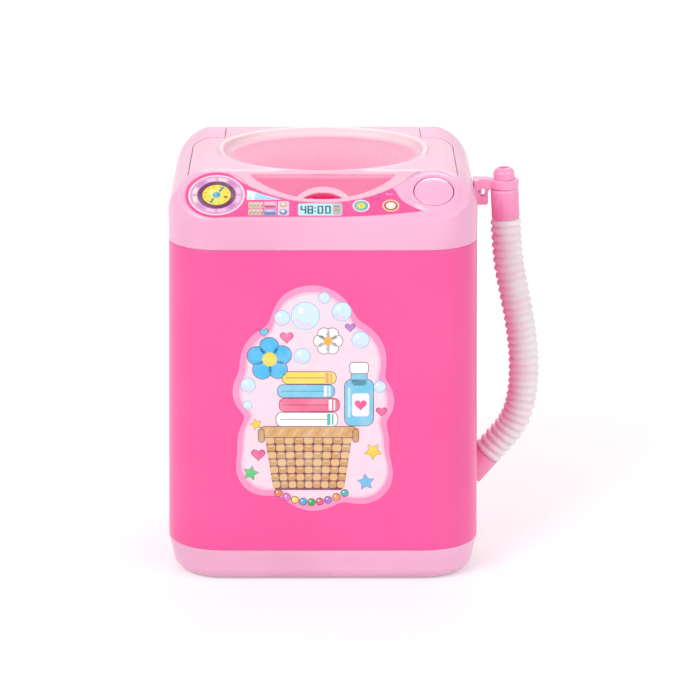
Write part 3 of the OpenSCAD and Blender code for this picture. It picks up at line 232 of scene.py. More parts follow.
def smooth_route(points, steps):
    """Even points on the smooth curve through the given ones."""
    p = np.array(points, float)
    p = np.vstack([2 * p[0] - p[1], p, 2 * p[-1] - p[-2]])
    fine = []
    for i in range(1, len(p) - 2):
        for t in np.linspace(0, 1, 24, endpoint=i == len(p) - 3):
            a, b, c, d = p[i - 1:i + 3]
            fine.append(0.5 * (2 * b + (c - a) * t + (2 * a - 5 * b + 4 * c - d) * t * t
                               + (3 * b - a - 3 * c + d) * t ** 3))
    fine = np.array(fine)
    run = np.concatenate([[0], np.cumsum(np.linalg.norm(np.diff(fine, axis=0), axis=1))])
    at = np.linspace(0, run[-1], steps + 1)
    return np.stack([np.interp(at, run, fine[:, k]) for k in range(p.shape[1])], 1), run[-1]


def full_turn(count):
    """Even angles of a full turn."""
    return np.linspace(0, 2 * math.pi, count, endpoint=False)


def lofted(rings, closed=True):
    """Points and faces of a skin through rings of equal count."""
    sides, count = len(rings[0]), len(rings)
    faces = [(i * sides + k, i * sides + (k + 1) % sides,
              (i + 1) % count * sides + (k + 1) % sides, (i + 1) % count * sides + k)
             for i in range(count if closed else count - 1) for k in range(sides)]
    return np.array([p for ring in rings for p in ring]), faces


def tube(rings, sides, closed=True):
    """Points and faces of a tube through rings given as (middle, side, up, radius)."""
    return lofted([[c + r * (math.cos(a) * s + math.sin(a) * u) for a in full_turn(sides)]
                   for c, s, u, r in rings], closed)


def hose_finish():
    finish = Finish("milky_hose")
    cloud = finish.noise(140, 2)
    streak = finish.noise(900, 2)
    tint = finish.mix(cloud.step(0.35, 0.65), ink(254, 228, 238), ink(251, 240, 245))
    return finish.done(finish.shader(
        Base_Color=tint, Roughness=streak * 0.12 + 0.3, Normal=finish.bump(streak, 0.00004, 0.5),
        Subsurface_Weight=0.35, Subsurface_Scale=0.003, Subsurface_Radius=(1, 0.6, 0.7),
        Coat_Weight=0.15, Coat_Roughness=0.2))


hose_line, hose_length = smooth_route([(x, 0, z) for x, z in HOSE_ROUTE], RIBS * RINGS_A_RIB)
hose_run = np.gradient(hose_line, axis=0)
hose_run /= np.linalg.norm(hose_run, axis=1)[:, None]
forward = np.array((0, 1.0, 0))
outer_rings, inner_rings = [], []
for i, (middle, run) in enumerate(zip(hose_line, hose_run)):
    side = np.cross(forward, run)
    crest = 0.5 - 0.5 * math.cos(2 * math.pi * i / RINGS_A_RIB)
    groove = RIB_DEPTH * (1 - crest ** 0.6)
    outer_rings.append((middle, side, forward, HOSE_R - groove))
    inner_rings.append((middle, side, forward, HOSE_BORE + 0.3 * crest))
points, faces = tube(outer_rings + inner_rings[::-1], HOSE_SIDES)
hose = sheet_mesh("ribbed_hose", points * MM, faces)
hose.data.materials.append(hose_finish())
hose.data.shade_smooth()
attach(hose, "hose")
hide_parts("drain_hose")

# ---- Nozzle and elbow ---------------------------------------------------------------------
# Glossy rose pink mouldings on the two ends of the hose. The nozzle's sleeve takes the hose's
# end, and its narrow nose clips in the bracket. The elbow turns in a bush in the wall.
HOSE_END = (58.45, 108.1)
SLEEVE_R = 4.5
SLEEVE_L = 9.9
NOSE_R = 3.4
NOSE_L = 16.6
NOSE_HOLE_R = 1.45
PINK_DEPTH = (1, 0.45, 0.55)


def eased(corners, soft, steps=4):
    """A closed outline with its corners rounded: points, outward normals and sharpness."""
    corners = [np.array(c, float) for c in corners]
    points, normals, keenness = [], [], []
    for i, corner in enumerate(corners):
        back, on = corners[i - 1] - corner, corners[(i + 1) % len(corners)] - corner
        back_l, on_l = np.linalg.norm(back), np.linalg.norm(on)
        reach = min(soft, back_l / 2.1, on_l / 2.1)
        start, end = corner + back / back_l * reach, corner + on / on_l * reach
        turn = back[1] * on[0] - back[0] * on[1]
        for t in np.linspace(0, 1, steps + 1):
            points.append((1 - t) ** 2 * start + 2 * t * (1 - t) * corner + t * t * end)
            way = (1 - t) * (corner - start) + t * (end - corner)
            normals.append(np.array((way[1], -way[0])) / np.linalg.norm(way))
            keenness.append(turn / back_l / on_l * 4 * t * (1 - t) * 0.8 / max(reach, 0.2))
    return points, normals, keenness


def marked(made, name, share):
    """Keeps a number for each point of a piece, for its finish to use."""
    made.data.attributes.new(name, "FLOAT", "POINT").data.foreach_set("value", share.astype(np.float32))


def lathed(name, corners, soft, foot, way, across, sides=64):
    """A round piece: its outline as (radius, height), run anticlockwise, and its foot and axis."""
    foot, way, across = (np.array(v, float) for v in (foot, way, across))
    outline, normals, keenness = eased(corners, soft)
    side = np.cross(across, way)
    points, faces = tube([(foot + way * h, side, across, max(r, 0.01)) for r, h in outline], sides)
    made = sheet_mesh(name, points * MM, faces)
    made.data.shade_smooth()
    made.data.normals_split_custom_set_from_vertices([
        tuple(nr * (math.cos(a) * side + math.sin(a) * across) + nh * way)
        for nr, nh in normals for a in full_turn(sides)])
    marked(made, "edge", np.repeat(keenness, sides))
    return made


def rose_plastic():
    """Glossy rose pink plastic with faint flow marks, fine grain and rubbed edges."""
    finish = Finish("rose_pink_plastic")
    flow = finish.noise(60, 3)
    grain = finish.noise(2400, 2)
    rubbed = finish.mark("edge").step(0.2, 1.4)
    skin = finish.mix(flow.step(0.3, 0.7), ink(253, 140, 187), ink(255, 164, 204))
    skin = finish.mix(rubbed * 0.2, skin, ink(255, 214, 232))
    return finish.done(finish.shader(
        Base_Color=skin, Roughness=grain * 0.04 + rubbed * 0.08 + 0.25, Coat_Weight=0.3, Coat_Roughness=0.1,
        Subsurface_Weight=0.15, Subsurface_Scale=0.002, Subsurface_Radius=PINK_DEPTH,
        Normal=finish.bump(grain * 0.5 + flow * 3, 0.00001, 0.3)))


def coat(material, *names):
    """Gives a finish to CAD nodes that keep their own shape."""
    for name in names:
        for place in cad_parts[name].material_slots:
            place.material = material


rose = rose_plastic()
nozzle_way = hose_line[-1] - hose_line[-3]
nozzle_way /= np.linalg.norm(nozzle_way)
nozzle = lathed("rose_nozzle", [
    (HOSE_BORE - 0.5, 0), (SLEEVE_R, 0), (SLEEVE_R, SLEEVE_L - 0.6), (SLEEVE_R - 0.3, SLEEVE_L),
    (NOSE_R, SLEEVE_L + 0.02), (NOSE_R, NOSE_L - 1.3), (NOSE_R - 1.1, NOSE_L), (NOSE_HOLE_R, NOSE_L),
    (NOSE_HOLE_R, SLEEVE_L - 1), (HOSE_BORE - 0.5, SLEEVE_L - 1)], 0.7,
    (HOSE_END[0], 0, HOSE_END[1]), nozzle_way, forward)
nozzle.data.materials.append(rose)
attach(nozzle, "hose")
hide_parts("hose_nozzle")
coat(rose, "outlet_elbow")

# ---- Base tray ----------------------------------------------------------------------------
# Injection moulded tray in pale pink, with a rounded lower edge, the battery box, a recess for
# its door and four deep wells for the corner screws. A lip inside its rim carries the wall.
def span(node):
    """Lowest and highest corner of a CAD node, in millimetres."""
    low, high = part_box(node)
    return np.array(low) / MM, np.array(high) / MM


wall_low, wall_high = span("body_shell")
cover_low, cover_high = span("top_cover")
tray_low, tray_high = span("base_tray")
half_w, half_d = cover_high[0], cover_high[1]
tray_z, seam_z = wall_low[2], wall_high[2]
flare_all = wall_high[0] - half_w
CORNER_R = 16
WALL = 1.8
BASE_ROUND = 5
FOOT_IN = 1.4
HOLLOW = 1
LIP_T = 1.2
LIP_H = 3
PLUG_GAP = 0.15
SEAM_SOFT = 0.4
KEEN_COS = 0.95


def both(a, b, r=0.4):
    """Where two forms overlap, with the edge between them rounded."""
    return np.minimum(np.maximum(a, b), -r) + np.hypot(np.maximum(a + r, 0), np.maximum(b + r, 0))


def either(a, b, r=0.4):
    """Two forms joined, with a hollow round where they meet."""
    return -both(-a, -b, r)


def meet(*forms):
    """Where all the forms overlap, with keen edges."""
    return reduce(np.maximum, forms)


def join(*forms):
    """All the forms together, with keen edges."""
    return reduce(np.minimum, forms)


def ramp(v, over):
    """From 0 to 1 as v goes from 0 to over."""
    return np.clip(v / over, 0, 1)


def without(a, b, r=0.3):
    """The first form less the second, with the new edge rounded."""
    return both(a, -b, r)


def plan(x, y, grow=0.0):
    """Distance from the body's plan, which has four round corners."""
    px, py = np.abs(x) - (half_w - CORNER_R), np.abs(y) - (half_d - CORNER_R)
    return (np.hypot(np.maximum(px, 0), np.maximum(py, 0))
            + np.minimum(np.maximum(px, py), 0) - CORNER_R - grow)


def flare(z):
    return flare_all * (seam_z - z) / (seam_z - tray_z)


def slab(v, low, high):
    return np.abs(v - (low + high) / 2) - (high - low) / 2


def brick(x, y, z, x0, x1, y0, y1, z0, z1):
    return meet(slab(x, x0, x1), slab(y, y0, y1), slab(z, z0, z1))


def peg(u, v, w, r, w0, w1):
    """Round bar along w."""
    return meet(np.hypot(u, v) - r, slab(w, w0, w1))


def net(field, low, high, step, block=6):
    """Quads round the form whose distance field is given, inside a box."""
    low, high = np.array(low, float) - 2 * step, np.array(high, float) + 3 * step
    blocks = np.ceil((high - low) / (step * block)).astype(int)
    size = blocks * block
    depth = np.empty(size, np.float32)
    cells = np.stack(np.meshgrid(*map(np.arange, blocks), indexing="ij"), -1).reshape(-1, 3)
    middle = field(*(low + (cells * block + (block - 1) / 2) * step).T)
    near = np.abs(middle) < block * step * math.sqrt(3) / 2 * 1.3 + step
    split = depth.reshape(blocks[0], block, blocks[1], block, blocks[2], block)
    far = cells[~near]
    split[far[:, 0], :, far[:, 1], :, far[:, 2], :] = np.sign(middle[~near])[:, None, None, None]
    inside = np.stack(np.meshgrid(*[np.arange(block)] * 3, indexing="ij"), -1).reshape(-1, 3)
    for start in range(0, near.sum(), 2000):
        part = cells[near][start:start + 2000]
        at = low + (part[:, None] * block + inside) * step
        split[part[:, 0], :, part[:, 1], :, part[:, 2], :] = field(
            *at.reshape(-1, 3).T).reshape(-1, block, block, block)
    full = depth < 0
    corners = [(i, j, k) for i in (0, 1) for j in (0, 1) for k in (0, 1)]
    shift = [tuple(slice(q, size[a] - 1 + q) for a, q in enumerate(c)) for c in corners]
    count = sum(full[s].astype(np.int8) for s in shift)
    crossed = np.argwhere((count > 0) & (count < 8))
    number = np.full(count.shape, -1, np.int32)
    number[tuple(crossed.T)] = np.arange(len(crossed))
    spots, around, quads = [], [], []
    for axis in range(3):
        u, v = (axis + 1) % 3, (axis + 2) % 3
        below, above = [slice(None)] * 3, [slice(None)] * 3
        below[axis], above[axis] = slice(0, -1), slice(1, None)
        edge = np.argwhere(full[tuple(below)] != full[tuple(above)])
        edge = edge[(edge[:, u] > 0) & (edge[:, v] > 0)]
        start, end = depth[tuple(edge.T)], depth[tuple((edge + np.eye(3, dtype=int)[axis]).T)]
        spot = edge.astype(float)
        spot[:, axis] += start / (start - end)
        ring = []
        for du, dv in ((1, 1), (0, 1), (0, 0), (1, 0)):
            cell = edge.copy()
            cell[:, u] -= du
            cell[:, v] -= dv
            ring.append(number[tuple(cell.T)])
        ring = np.stack(ring, 1)
        spots.append(spot)
        around.append(ring.copy())
        outward = start < 0
        ring[~outward] = ring[~outward][:, ::-1]
        quads.append(ring)
    spots, around = np.vstack(spots), np.vstack(around).ravel()
    way = facing(slope_of(field, low + spots * step, step / 10))

    def gathered(values):
        return np.stack([np.bincount(around, np.repeat(row, 4), len(crossed)) for row in values.T], 1)

    middle = gathered(spots) / np.bincount(around, minlength=len(crossed))[:, None]
    spread = gathered((way[:, :, None] * way[:, None]).reshape(-1, 9)).reshape(-1, 3, 3)
    pull = gathered(way * (way * spots).sum(1, keepdims=True)) - (spread @ middle[..., None])[..., 0]
    move = np.linalg.solve(spread + 0.1 * np.eye(3), pull[..., None])[..., 0]
    return low + np.clip(middle + move, crossed, crossed + 1) * step, np.vstack(quads)


def facing(ways):
    return ways / np.maximum(np.linalg.norm(ways, axis=1), 1e-9)[:, None]


def slope_of(field, points, h):
    """Gradient of a distance field at the points."""
    rise = np.empty_like(points)
    for axis in range(3):
        step = np.zeros(3)
        step[axis] = h
        rise[:, axis] = (field(*(points + step).T) - field(*(points - step).T)) / (2 * h)
    return rise


def settle(field, points, h, times, most):
    """Moves the points on to the surface of the form."""
    for _ in range(times):
        rise = slope_of(field, points, h)
        move = np.clip(field(*points.T) / np.maximum((rise ** 2).sum(1), 0.25), -most, most)
        points = points - rise * move[:, None]
    return points


def points_of(made):
    """Points of a piece, in millimetres."""
    flat = np.empty(len(made.data.vertices) * 3, np.float32)
    made.data.vertices.foreach_get("co", flat)
    return flat.reshape(-1, 3).astype(float) / MM


def shaded_by(made, field, h):
    """Gives a piece the normals of the form that it follows, and a measure of its edges."""
    points = points_of(made)
    bend = sum(field(*(points + s * h * np.eye(3)[a]).T) for a in range(3) for s in (-1, 1))
    marked(made, "edge", bend / h / 2)
    corner = np.empty(len(made.data.loops), np.int32)
    made.data.loops.foreach_get("vertex_index", corner)
    sides = np.empty(len(made.data.polygons), np.int32)
    made.data.polygons.foreach_get("loop_total", sides)
    middle = np.add.reduceat(points[corner], np.cumsum(sides) - sides) / sides[:, None]
    inward = np.repeat(middle, sides, 0) - points[corner]
    reach = np.minimum(0.5, h * 0.8 / np.maximum(np.linalg.norm(inward, axis=1), 1e-9))
    face = facing(slope_of(field, points[corner] + inward * reach[:, None], h / 4))
    point = facing(slope_of(field, points, h / 3))[corner]
    made.data.shade_smooth()
    keen_here = (face * point).sum(1, keepdims=True) < KEEN_COS
    made.data.normals_split_custom_set(np.where(keen_here, face, point).tolist())


def unfolded(field, made, points, step):
    """Moves points to the middle of their neighbours where the thinning left a face turned over."""
    made.data.calc_loop_triangles()
    corner = np.empty(3 * len(made.data.loop_triangles), np.int32)
    made.data.loop_triangles.foreach_get("vertices", corner)
    corner = corner.reshape(-1, 3)
    ends = np.empty(2 * len(made.data.edges), np.int32)
    made.data.edges.foreach_get("vertices", ends)
    ends = np.vstack((ends.reshape(-1, 2), ends.reshape(-1, 2)[:, ::-1]))
    count = np.maximum(np.bincount(ends[:, 0], minlength=len(points)), 1)
    for _ in range(3):
        a, b, c = (points[corner[:, i]] for i in range(3))
        turned = (np.cross(b - a, c - a) * slope_of(field, (a + b + c) / 3, step / 6)).sum(1) < 0
        fold = np.zeros(len(points), bool)
        fold[corner[turned]] = True
        middle = np.stack([np.bincount(ends[:, 0], points[ends[:, 1], i], len(points)) / count
                           for i in range(3)], 1)
        points[fold] = settle(field, middle[fold], step / 6, 2, step / 2)
    return points


def moulded(name, field, low, high, step, keep):
    """An object for a form in millimetres: netted, thinned out, laid on its surface and shaded by it."""
    points, quads = net(field, low, high, step)
    rough = sheet_mesh("rough", settle(field, points, step / 6, 3, step / 2) * MM, quads.tolist())
    thin = rough.modifiers.new("thin", "DECIMATE")
    thin.ratio = keep
    made = bpy.data.objects.new(name, bpy.data.meshes.new_from_object(
        rough.evaluated_get(bpy.context.evaluated_depsgraph_get())))
    bpy.data.meshes.remove(rough.data)
    made.data.name = name
    bpy.context.scene.collection.objects.link(made)
    points = unfolded(field, made, settle(field, points_of(made), step / 6, 3, step / 2), step)
    made.data.vertices.foreach_set("co", (points * MM).astype(np.float32).ravel())
    shaded_by(made, field, step / 2)
    return made


def moulded_plastic(name, colour, tone=0.03, gloss=0.28, clear=0.2, painted_light=(), shine=0.5):
    """Shiny coloured plastic: faint flow marks, fine grain, rubbed edges, painted shade in its hollows, and
    painted shade and highlights from the marks it is given.
    """
    finish = Finish(name)
    flow = finish.noise(28, 3)
    grain = finish.noise(2600, 2)
    scuff = finish.noise(420, 4, 0.65).step(0.62, 0.78)
    edge = finish.mark("edge")
    rubbed = edge.step(0.25, 1.2)
    # Painted shade: where the edge measure is below zero, in hollows and creases, the colour is darkened
    # towards a deeper tone of itself.
    hollow = 1 - edge.step(-1.2, -0.25)
    skin = finish.mix(flow.step(0.3, 0.7), toned(colour, 1 - 3 * tone), toned(colour, 1, tone))
    skin = finish.mix(rubbed * 0.25, skin, (1, 0.93, 0.96, 1))
    skin = finish.mix(hollow * 0.2, skin, toned(colour, 0.62))
    # Painted light: each mark paints its colour over the skin, as painted shade in hollows and gaps, and as
    # a painted highlight on the lid's far rim.
    for mark, painted_tint in painted_light:
        share = finish.mark(mark)
        skin = finish.mix(share, skin, finish.mix(flow.step(0.3, 0.7), toned(painted_tint, 0.93), painted_tint))
    return finish.done(finish.shader(
        Base_Color=skin, Roughness=grain * 0.06 + scuff * 0.04 + rubbed * 0.1 + gloss,
        Coat_Weight=clear, Coat_Roughness=0.12, Specular_IOR_Level=shine,
        Subsurface_Weight=0.12, Subsurface_Scale=0.002, Subsurface_Radius=PINK_DEPTH,
        Normal=finish.bump(grain * 0.5 + flow * 2, 0.00002, 0.4)))


door_low, door_high = span("battery_door")
DOOR_GAP = 0.25
DOOR_TAB_W = 9.5
TAB_FROM = 29.25
BOX_WALL = 1
box_roof_z = tray_high[2]
POST = (38.5, 32.5)
POST_R = 3.8
WELL_R = 2.6
WELL_Z = 9
SCREW_X = 33.5
SCREW_POST_R = 3.2
SHANK_R = 1.35
PILOT_R = 1.3
DOOR_POST_Z = 9.9


def tray_form(x, y, z):
    side = plan(x, y, flare(tray_z) - FOOT_IN * ramp(tray_z - z, tray_z - BASE_ROUND))
    outside = both(both(side, -z, BASE_ROUND), z - tray_z, SEAM_SOFT)
    drawn_in = WALL + (FOOT_IN + HOLLOW) * ramp(tray_z + 1 - z, tray_z + 1 - WALL)
    room = meet(plan(x, y, flare(z) - drawn_in), WALL - z)
    lip = meet(plan(x, y, flare(z) - WALL - PLUG_GAP), slab(z, tray_z - 2, tray_z + LIP_H),
               -plan(x, y, flare(z) - WALL - PLUG_GAP - LIP_T))
    form = join(without(outside, room, 0.3), lip)
    x0, x1 = door_low[0] - DOOR_GAP, TAB_FROM + DOOR_GAP
    y0, y1 = door_low[1] - DOOR_GAP, door_high[1] + DOOR_GAP
    mid_y = (y0 + y1) / 2
    box = brick(x, y, z, x0 - BOX_WALL, x1 + BOX_WALL, y0 - BOX_WALL, y1 + BOX_WALL, 0.5, box_roof_z)
    form = join(either(form, box, 0.5), peg(x - SCREW_X, y - mid_y, z, SCREW_POST_R, 1, DOOR_POST_Z))
    post_x, post_y = np.abs(x) - POST[0], np.abs(y) - POST[1]
    form = either(form, peg(post_x, post_y, z, POST_R, 1, tray_z + LIP_H + 1.5), 0.6)
    cells = brick(x, y, z, x0 + 1, x1 - 1, y0 + 1, y1 - 1, -1, box_roof_z - 1.5)
    recess = join(brick(x, y, z, x0, x1, y0, y1, -1, door_high[2]),
                  brick(x, y, z, 0, door_high[0] + DOOR_GAP, mid_y - DOOR_TAB_W / 2 - DOOR_GAP,
                        mid_y + DOOR_TAB_W / 2 + DOOR_GAP, -1, door_high[2]))
    form = without(without(form, cells, 0.2), recess, 0.25)
    form = without(form, peg(x - SCREW_X, y - mid_y, z, PILOT_R, -1, DOOR_POST_Z - 1), 0.15)
    form = without(form, peg(post_x, post_y, z, WELL_R, -1, WELL_Z), 0.35)
    return without(form, peg(post_x, post_y, z, SHANK_R, -1, 30), 0.1)


PALE_PINK = ink(255, 186, 219)
base_tray = moulded("moulded_tray", tray_form, tray_low, tray_high, 0.6, 0.2)
base_tray.data.materials.append(moulded_plastic("pale_pink_plastic", PALE_PINK))
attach(base_tray, "housing")
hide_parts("base_tray")

# ---- Battery door, cells and contacts -----------------------------------------------------
# The door is a thin pale pink moulding with grip ribs, held by one screw. Behind it lie two
# plain wrapped cells between nickel brass strips and steel coil springs.
coat(moulded_plastic("door_pink_plastic", ink(253, 170, 206), 0.03, 0.34, 0.1), "battery_door")


def metal(name, colour, rough=0.28, grain=900, drawn=(1, 1, 0.15)):
    """Bare metal with drawn lines, dull patches and a little tarnish."""
    finish = Finish(name)
    at = finish.place()
    drawn_out = finish.node("ShaderNodeVectorMath", {"operation": "MULTIPLY"}, {0: at, 1: drawn})
    lines = finish.noise(grain, 4, at=drawn_out)
    dull = finish.noise(170, 3).step(0.38, 0.7)
    tarnish = finish.noise(60, 4, 0.6).step(0.55, 0.8)
    skin = finish.mix(dull * 0.5, colour, toned(colour, 0.6))
    skin = finish.mix(tarnish * 0.3, skin, ink(120, 104, 92))
    return finish.done(finish.shader(
        Base_Color=skin, Metallic=1 - tarnish * 0.3, Roughness=lines * 0.16 + dull * 0.14 + rough,
        Normal=finish.bump(lines, 0.000012, 0.6)))


steel = metal("zinc_plated_steel", ink(205, 208, 212))
coat(steel, "door_screw", "battery_springs")
coat(metal("nickel_brass_strip", ink(222, 200, 140), 0.22), "battery_contacts")


def cell_wrap(name, node, plus):
    """Plain printed wrap over a steel can, its plus end on the side that plus gives."""
    finish = Finish(name)
    at = finish.place()
    low, high = span(node)
    along = finish.node("ShaderNodeSeparateXYZ", (), {0: at}) / MM
    from_plus = float(high[0]) - along if plus > 0 else along - float(low[0])
    scuff = finish.noise(700, 4, 0.6)

    def stretch(start, end, fade=0.1):
        """1 between two distances from the plus end, else 0."""
        return from_plus.step(start, start + 0.1) * (1 - from_plus.step(end, end + fade))

    wrapped = stretch(1.4, 50.1)
    skin = finish.mix(stretch(1.4, 14, 0.15), ink(24, 78, 60), ink(196, 150, 62))
    skin = finish.mix(stretch(15.2, 15.9), skin, ink(236, 232, 220))
    skin = finish.mix(scuff.step(0.6, 0.75) * 0.25, skin, ink(220, 224, 222))
    skin = finish.mix(wrapped, ink(198, 200, 204), skin)
    return finish.done(finish.shader(
        Base_Color=skin, Metallic=1 - wrapped * 0.9, Roughness=scuff * 0.15 + 0.2,
        Normal=finish.bump(scuff, 0.00002, 0.4)))


coat(cell_wrap("wrap_plus_right", "battery_cell_1", 1), "battery_cell_1")
coat(cell_wrap("wrap_plus_left", "battery_cell_2", -1), "battery_cell_2")
coat(steel, "base_screws")

# ---- Wall ---------------------------------------------------------------------------------
# One hot pink moulding with four upright sides that flare a little downwards. It stands on the
# tray and carries the cover. Inside are the posts of the tray's screws and tabs for the cover's.
RING_ARC = 12
OUTLET_Z = 26
OUTLET_R = 4.65
DRILL_SIDES = 48
SIDE_POST = (4.5, 18.5)
WEB_L, WEB_T = 9, 1.2
TAB_R = 4.2
TOP_POST = (half_w - 8.5, half_d - 8.5)


def ring_of(z, grow):
    """Points of the body's plan at a height, drawn out by grow."""
    quarter, r = np.linspace(0, math.pi / 2, RING_ARC), CORNER_R + grow
    return [(i * (half_w - CORNER_R) + r * math.cos(a), j * (half_d - CORNER_R) + r * math.sin(a), z)
            for k, (i, j) in enumerate(((1, 1), (-1, 1), (-1, -1), (1, -1)))
            for a in quarter + k * math.pi / 2]


def wall_form(x, y, z):
    return meet(both(plan(x, y, flare(z)), slab(z, tray_z, seam_z), SEAM_SOFT),
                -plan(x, y, flare(z) - WALL))


ends = [(SEAM_SOFT * (1 - math.cos(a)), SEAM_SOFT * (1 - math.sin(a)))
        for a in np.linspace(0, math.pi / 2, 5)]
rings = [ring_of(tray_z, flare(tray_z) - WALL)]
rings += [ring_of(tray_z + up, flare(tray_z) - back) for back, up in reversed(ends)]
rings += [ring_of(z, flare(z)) for z in np.linspace(tray_z + 2, seam_z - 2, 9)]
rings += [ring_of(seam_z - down, -back) for back, down in ends]
rings += [ring_of(seam_z, -WALL)]
points, faces = lofted(rings)
wall = sheet_mesh("side_wall", points * MM, faces)
points, faces = tube([(np.array((x, 0, OUTLET_Z)), np.array((0, 1, 0)), np.array((0, 0, 1)), OUTLET_R)
                      for x in (half_w - 8, half_w + 8)], DRILL_SIDES, closed=False)
faces += [tuple(reversed(range(DRILL_SIDES))), tuple(range(DRILL_SIDES, 2 * DRILL_SIDES))]
drill = sheet_mesh("drill", points * MM, faces)
hole = wall.modifiers.new("hole", "BOOLEAN")
hole.operation, hole.object, hole.solver = "DIFFERENCE", drill, "EXACT"
wall.data = bpy.data.meshes.new_from_object(wall.evaluated_get(bpy.context.evaluated_depsgraph_get()))
wall.modifiers.clear()
bpy.data.meshes.remove(drill.data)
shaded_by(wall, wall_form, 0.3)


def post_form(x, y, z):
    inside = plan(x, y, flare(z) - WALL / 2)
    u, v = np.abs(x) - POST[0], np.abs(y) - POST[1]
    tab_u, tab_v = np.abs(x) - TOP_POST[0], np.abs(y) - TOP_POST[1]
    low, high = (tray_z + up for up in SIDE_POST)
    out = (POST[0] / math.hypot(*POST), POST[1] / math.hypot(*POST))
    along, across = u * out[0] + v * out[1], u * out[1] - v * out[0]
    form = join(peg(u, v, z, SCREW_POST_R, low, high),
                brick(along, across, z, 0, WEB_L, -WEB_T / 2, WEB_T / 2, low, high),
                peg(tab_u, tab_v, z, TAB_R, seam_z - 5, seam_z - 3))
    return meet(form, inside, PILOT_R - np.hypot(u, v), SHANK_R - np.hypot(tab_u, tab_v))


posts = moulded("wall_posts", post_form, (-48, -42, 15), (48, 42, 107), 0.6, 0.25)
HOT_PINK = ink(255, 84, 163)
hot_plastic = moulded_plastic("hot_pink_plastic", HOT_PINK, 0.01, 0.3)
for made in (wall, posts):
    made.data.materials.append(hot_plastic)
    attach(made, "housing")
    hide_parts("body_shell")

# ---- Top cover ----------------------------------------------------------------------------
# Pale pink moulding with round shoulders and a sloping console. It holds the deck that the lid
# lies on, the well of the push button with its raised ring, and a lip inside the wall.
RIM_H = 1.5
lid_low, lid_high = span("lid")
top_z = lid_high[2] - RIM_H
SLOPE = math.radians(31)
FASCIA_H = 10
LABEL_EDGE = 1.2
SHOULDER_R = 12.3
REAR_R = 5.5
DECK_DROP = 3.6
DECK_T = 1.6
LID_GAP = 0.12
LID_BACK_GAP = 0.8
LID_HALF = half_w - 6.2
LID_BACK = half_d - 21.4
LID_CORNER = 6
LID_SUNK = 3.2
BARREL_HALF = 31.7
SMILE = (45.1, 39)
DIAL = (-32.7, 9.3, 10.3)
BUTTON = (34.1, 10.2, 10.0)
BOSS_H = 0.8
CAP_R = 6.1
CAP_GAP = 0.15
BOSS_R = 7.8
BRACKET_SCREW_Z = 115.03
COVER_PILOT_R = 1.27
TUB_POSTS = ((20.5, -35.3), (35, 27))
AXIS_Y = 2
MOUTH_R = 26
COLLAR_R = 30.6
COLLAR_BORE_R = 29
HINGE_BLOCK = (7.4, 33.8)
CHEEK_R = 3.9
CHEEK_X = (32.2, 36.7)
PIN_HOLE = (1.55, 35.5)
CUP_R = 8
CUP_BORE_R = 6.6
STEM_BORE_R = 2.25
slope_z = seam_z + FASCIA_H
brow_y = (top_z - slope_z) / math.tan(SLOPE) - half_d
hinge_y, hinge_z = half_d - REAR_R, top_z - REAR_R
deck_z = top_z - DECK_DROP


def on_face(y, z):
    """Distance up the console from the label's edge, and out of its face."""
    back, up = y + half_d, z - slope_z
    return (back * math.cos(SLOPE) + up * math.sin(SLOPE) - LABEL_EDGE,
            up * math.cos(SLOPE) - back * math.sin(SLOPE))


def rounded(u, v, r):
    """Distance from the corner of two faces with a round edge, and the way its face looks."""
    cu, cv = np.maximum(u + r, 0), np.maximum(v + r, 0)
    length = np.hypot(cu, cv)
    flat = length < 1e-9
    way_u = np.where(flat, u > v, cu / np.maximum(length, 1e-9))
    way_v = np.where(flat, u <= v, cv / np.maximum(length, 1e-9))
    return length + np.minimum(np.maximum(u + r, v + r), 0) - r, way_u, way_v


def keen(a, b, alike, most):
    """Two forms' overlap, whose edge is the softer the more the faces differ."""
    return both(a, b, np.clip(4 * (1 - alike), 0.001, most))


def cover_skin(x, y, z):
    shoulder, sx, sz = rounded(np.abs(x) - half_w, z - top_z, SHOULDER_R)
    rear, ry, rz = rounded(y - half_d, z - top_z, REAR_R)
    side, px, py = rounded(np.abs(x) - half_w, np.abs(y) - half_d, CORNER_R)
    face = on_face(y, z)[1]
    top = keen(shoulder, rear, sz * rz, 2.5)
    share = np.clip(0.5 + (shoulder - rear) / 3, 0, 1)
    tx, ty = sx * share, ry * (1 - share)
    front = np.clip(0.5 + (face - top) / 3, 0, 1)
    top = keen(top, face, sz * math.cos(SLOPE), 1.6)
    tx, ty = tx * (1 - front), ty * (1 - front) + math.sin(SLOPE) * front
    return keen(top, side, tx * px + ty * py, 5 - 4 * front)


def lid_outline(x, y, gap, back_gap):
    """The lid's level part from above."""
    wide = rounded(np.abs(x) - LID_HALF - gap, y - LID_BACK - back_gap, LID_CORNER)[0]
    middle = meet(np.abs(x) - BARREL_HALF - gap, y - hinge_y)
    return meet(either(wide, middle, 0.6), brow_y - gap - y)


def smile(x, s, grow):
    return np.hypot(x, s - SMILE[0]) - SMILE[1] - grow


def lid_space(x, y, z, gap, back_gap, deep, sunk):
    s, n = on_face(y, z)
    level = meet(lid_outline(x, y, gap, back_gap), top_z - deep - z)
    apron = meet(smile(x, s, gap), -s, np.abs(x) - LID_HALF, -sunk - n,
                 s - (top_z - slope_z) / math.sin(SLOPE) + LABEL_EDGE - 3)
    return join(level, apron)


def rounds(x, y, z, gap):
    """The two round places in front of the lid: the dial's and the button's."""
    s, n = on_face(y, z)
    dial = np.hypot(x - DIAL[0], s - DIAL[1]) - DIAL[2] + LID_GAP - gap
    button = np.hypot(x - BUTTON[0], s - BUTTON[1]) - BUTTON[2] - gap
    return meet(join(dial, button), slab(n, -12, 8))


def tub_posts(x, y):
    return join(*(np.hypot(np.abs(x) - u, y - v) for u, v in TUB_POSTS))


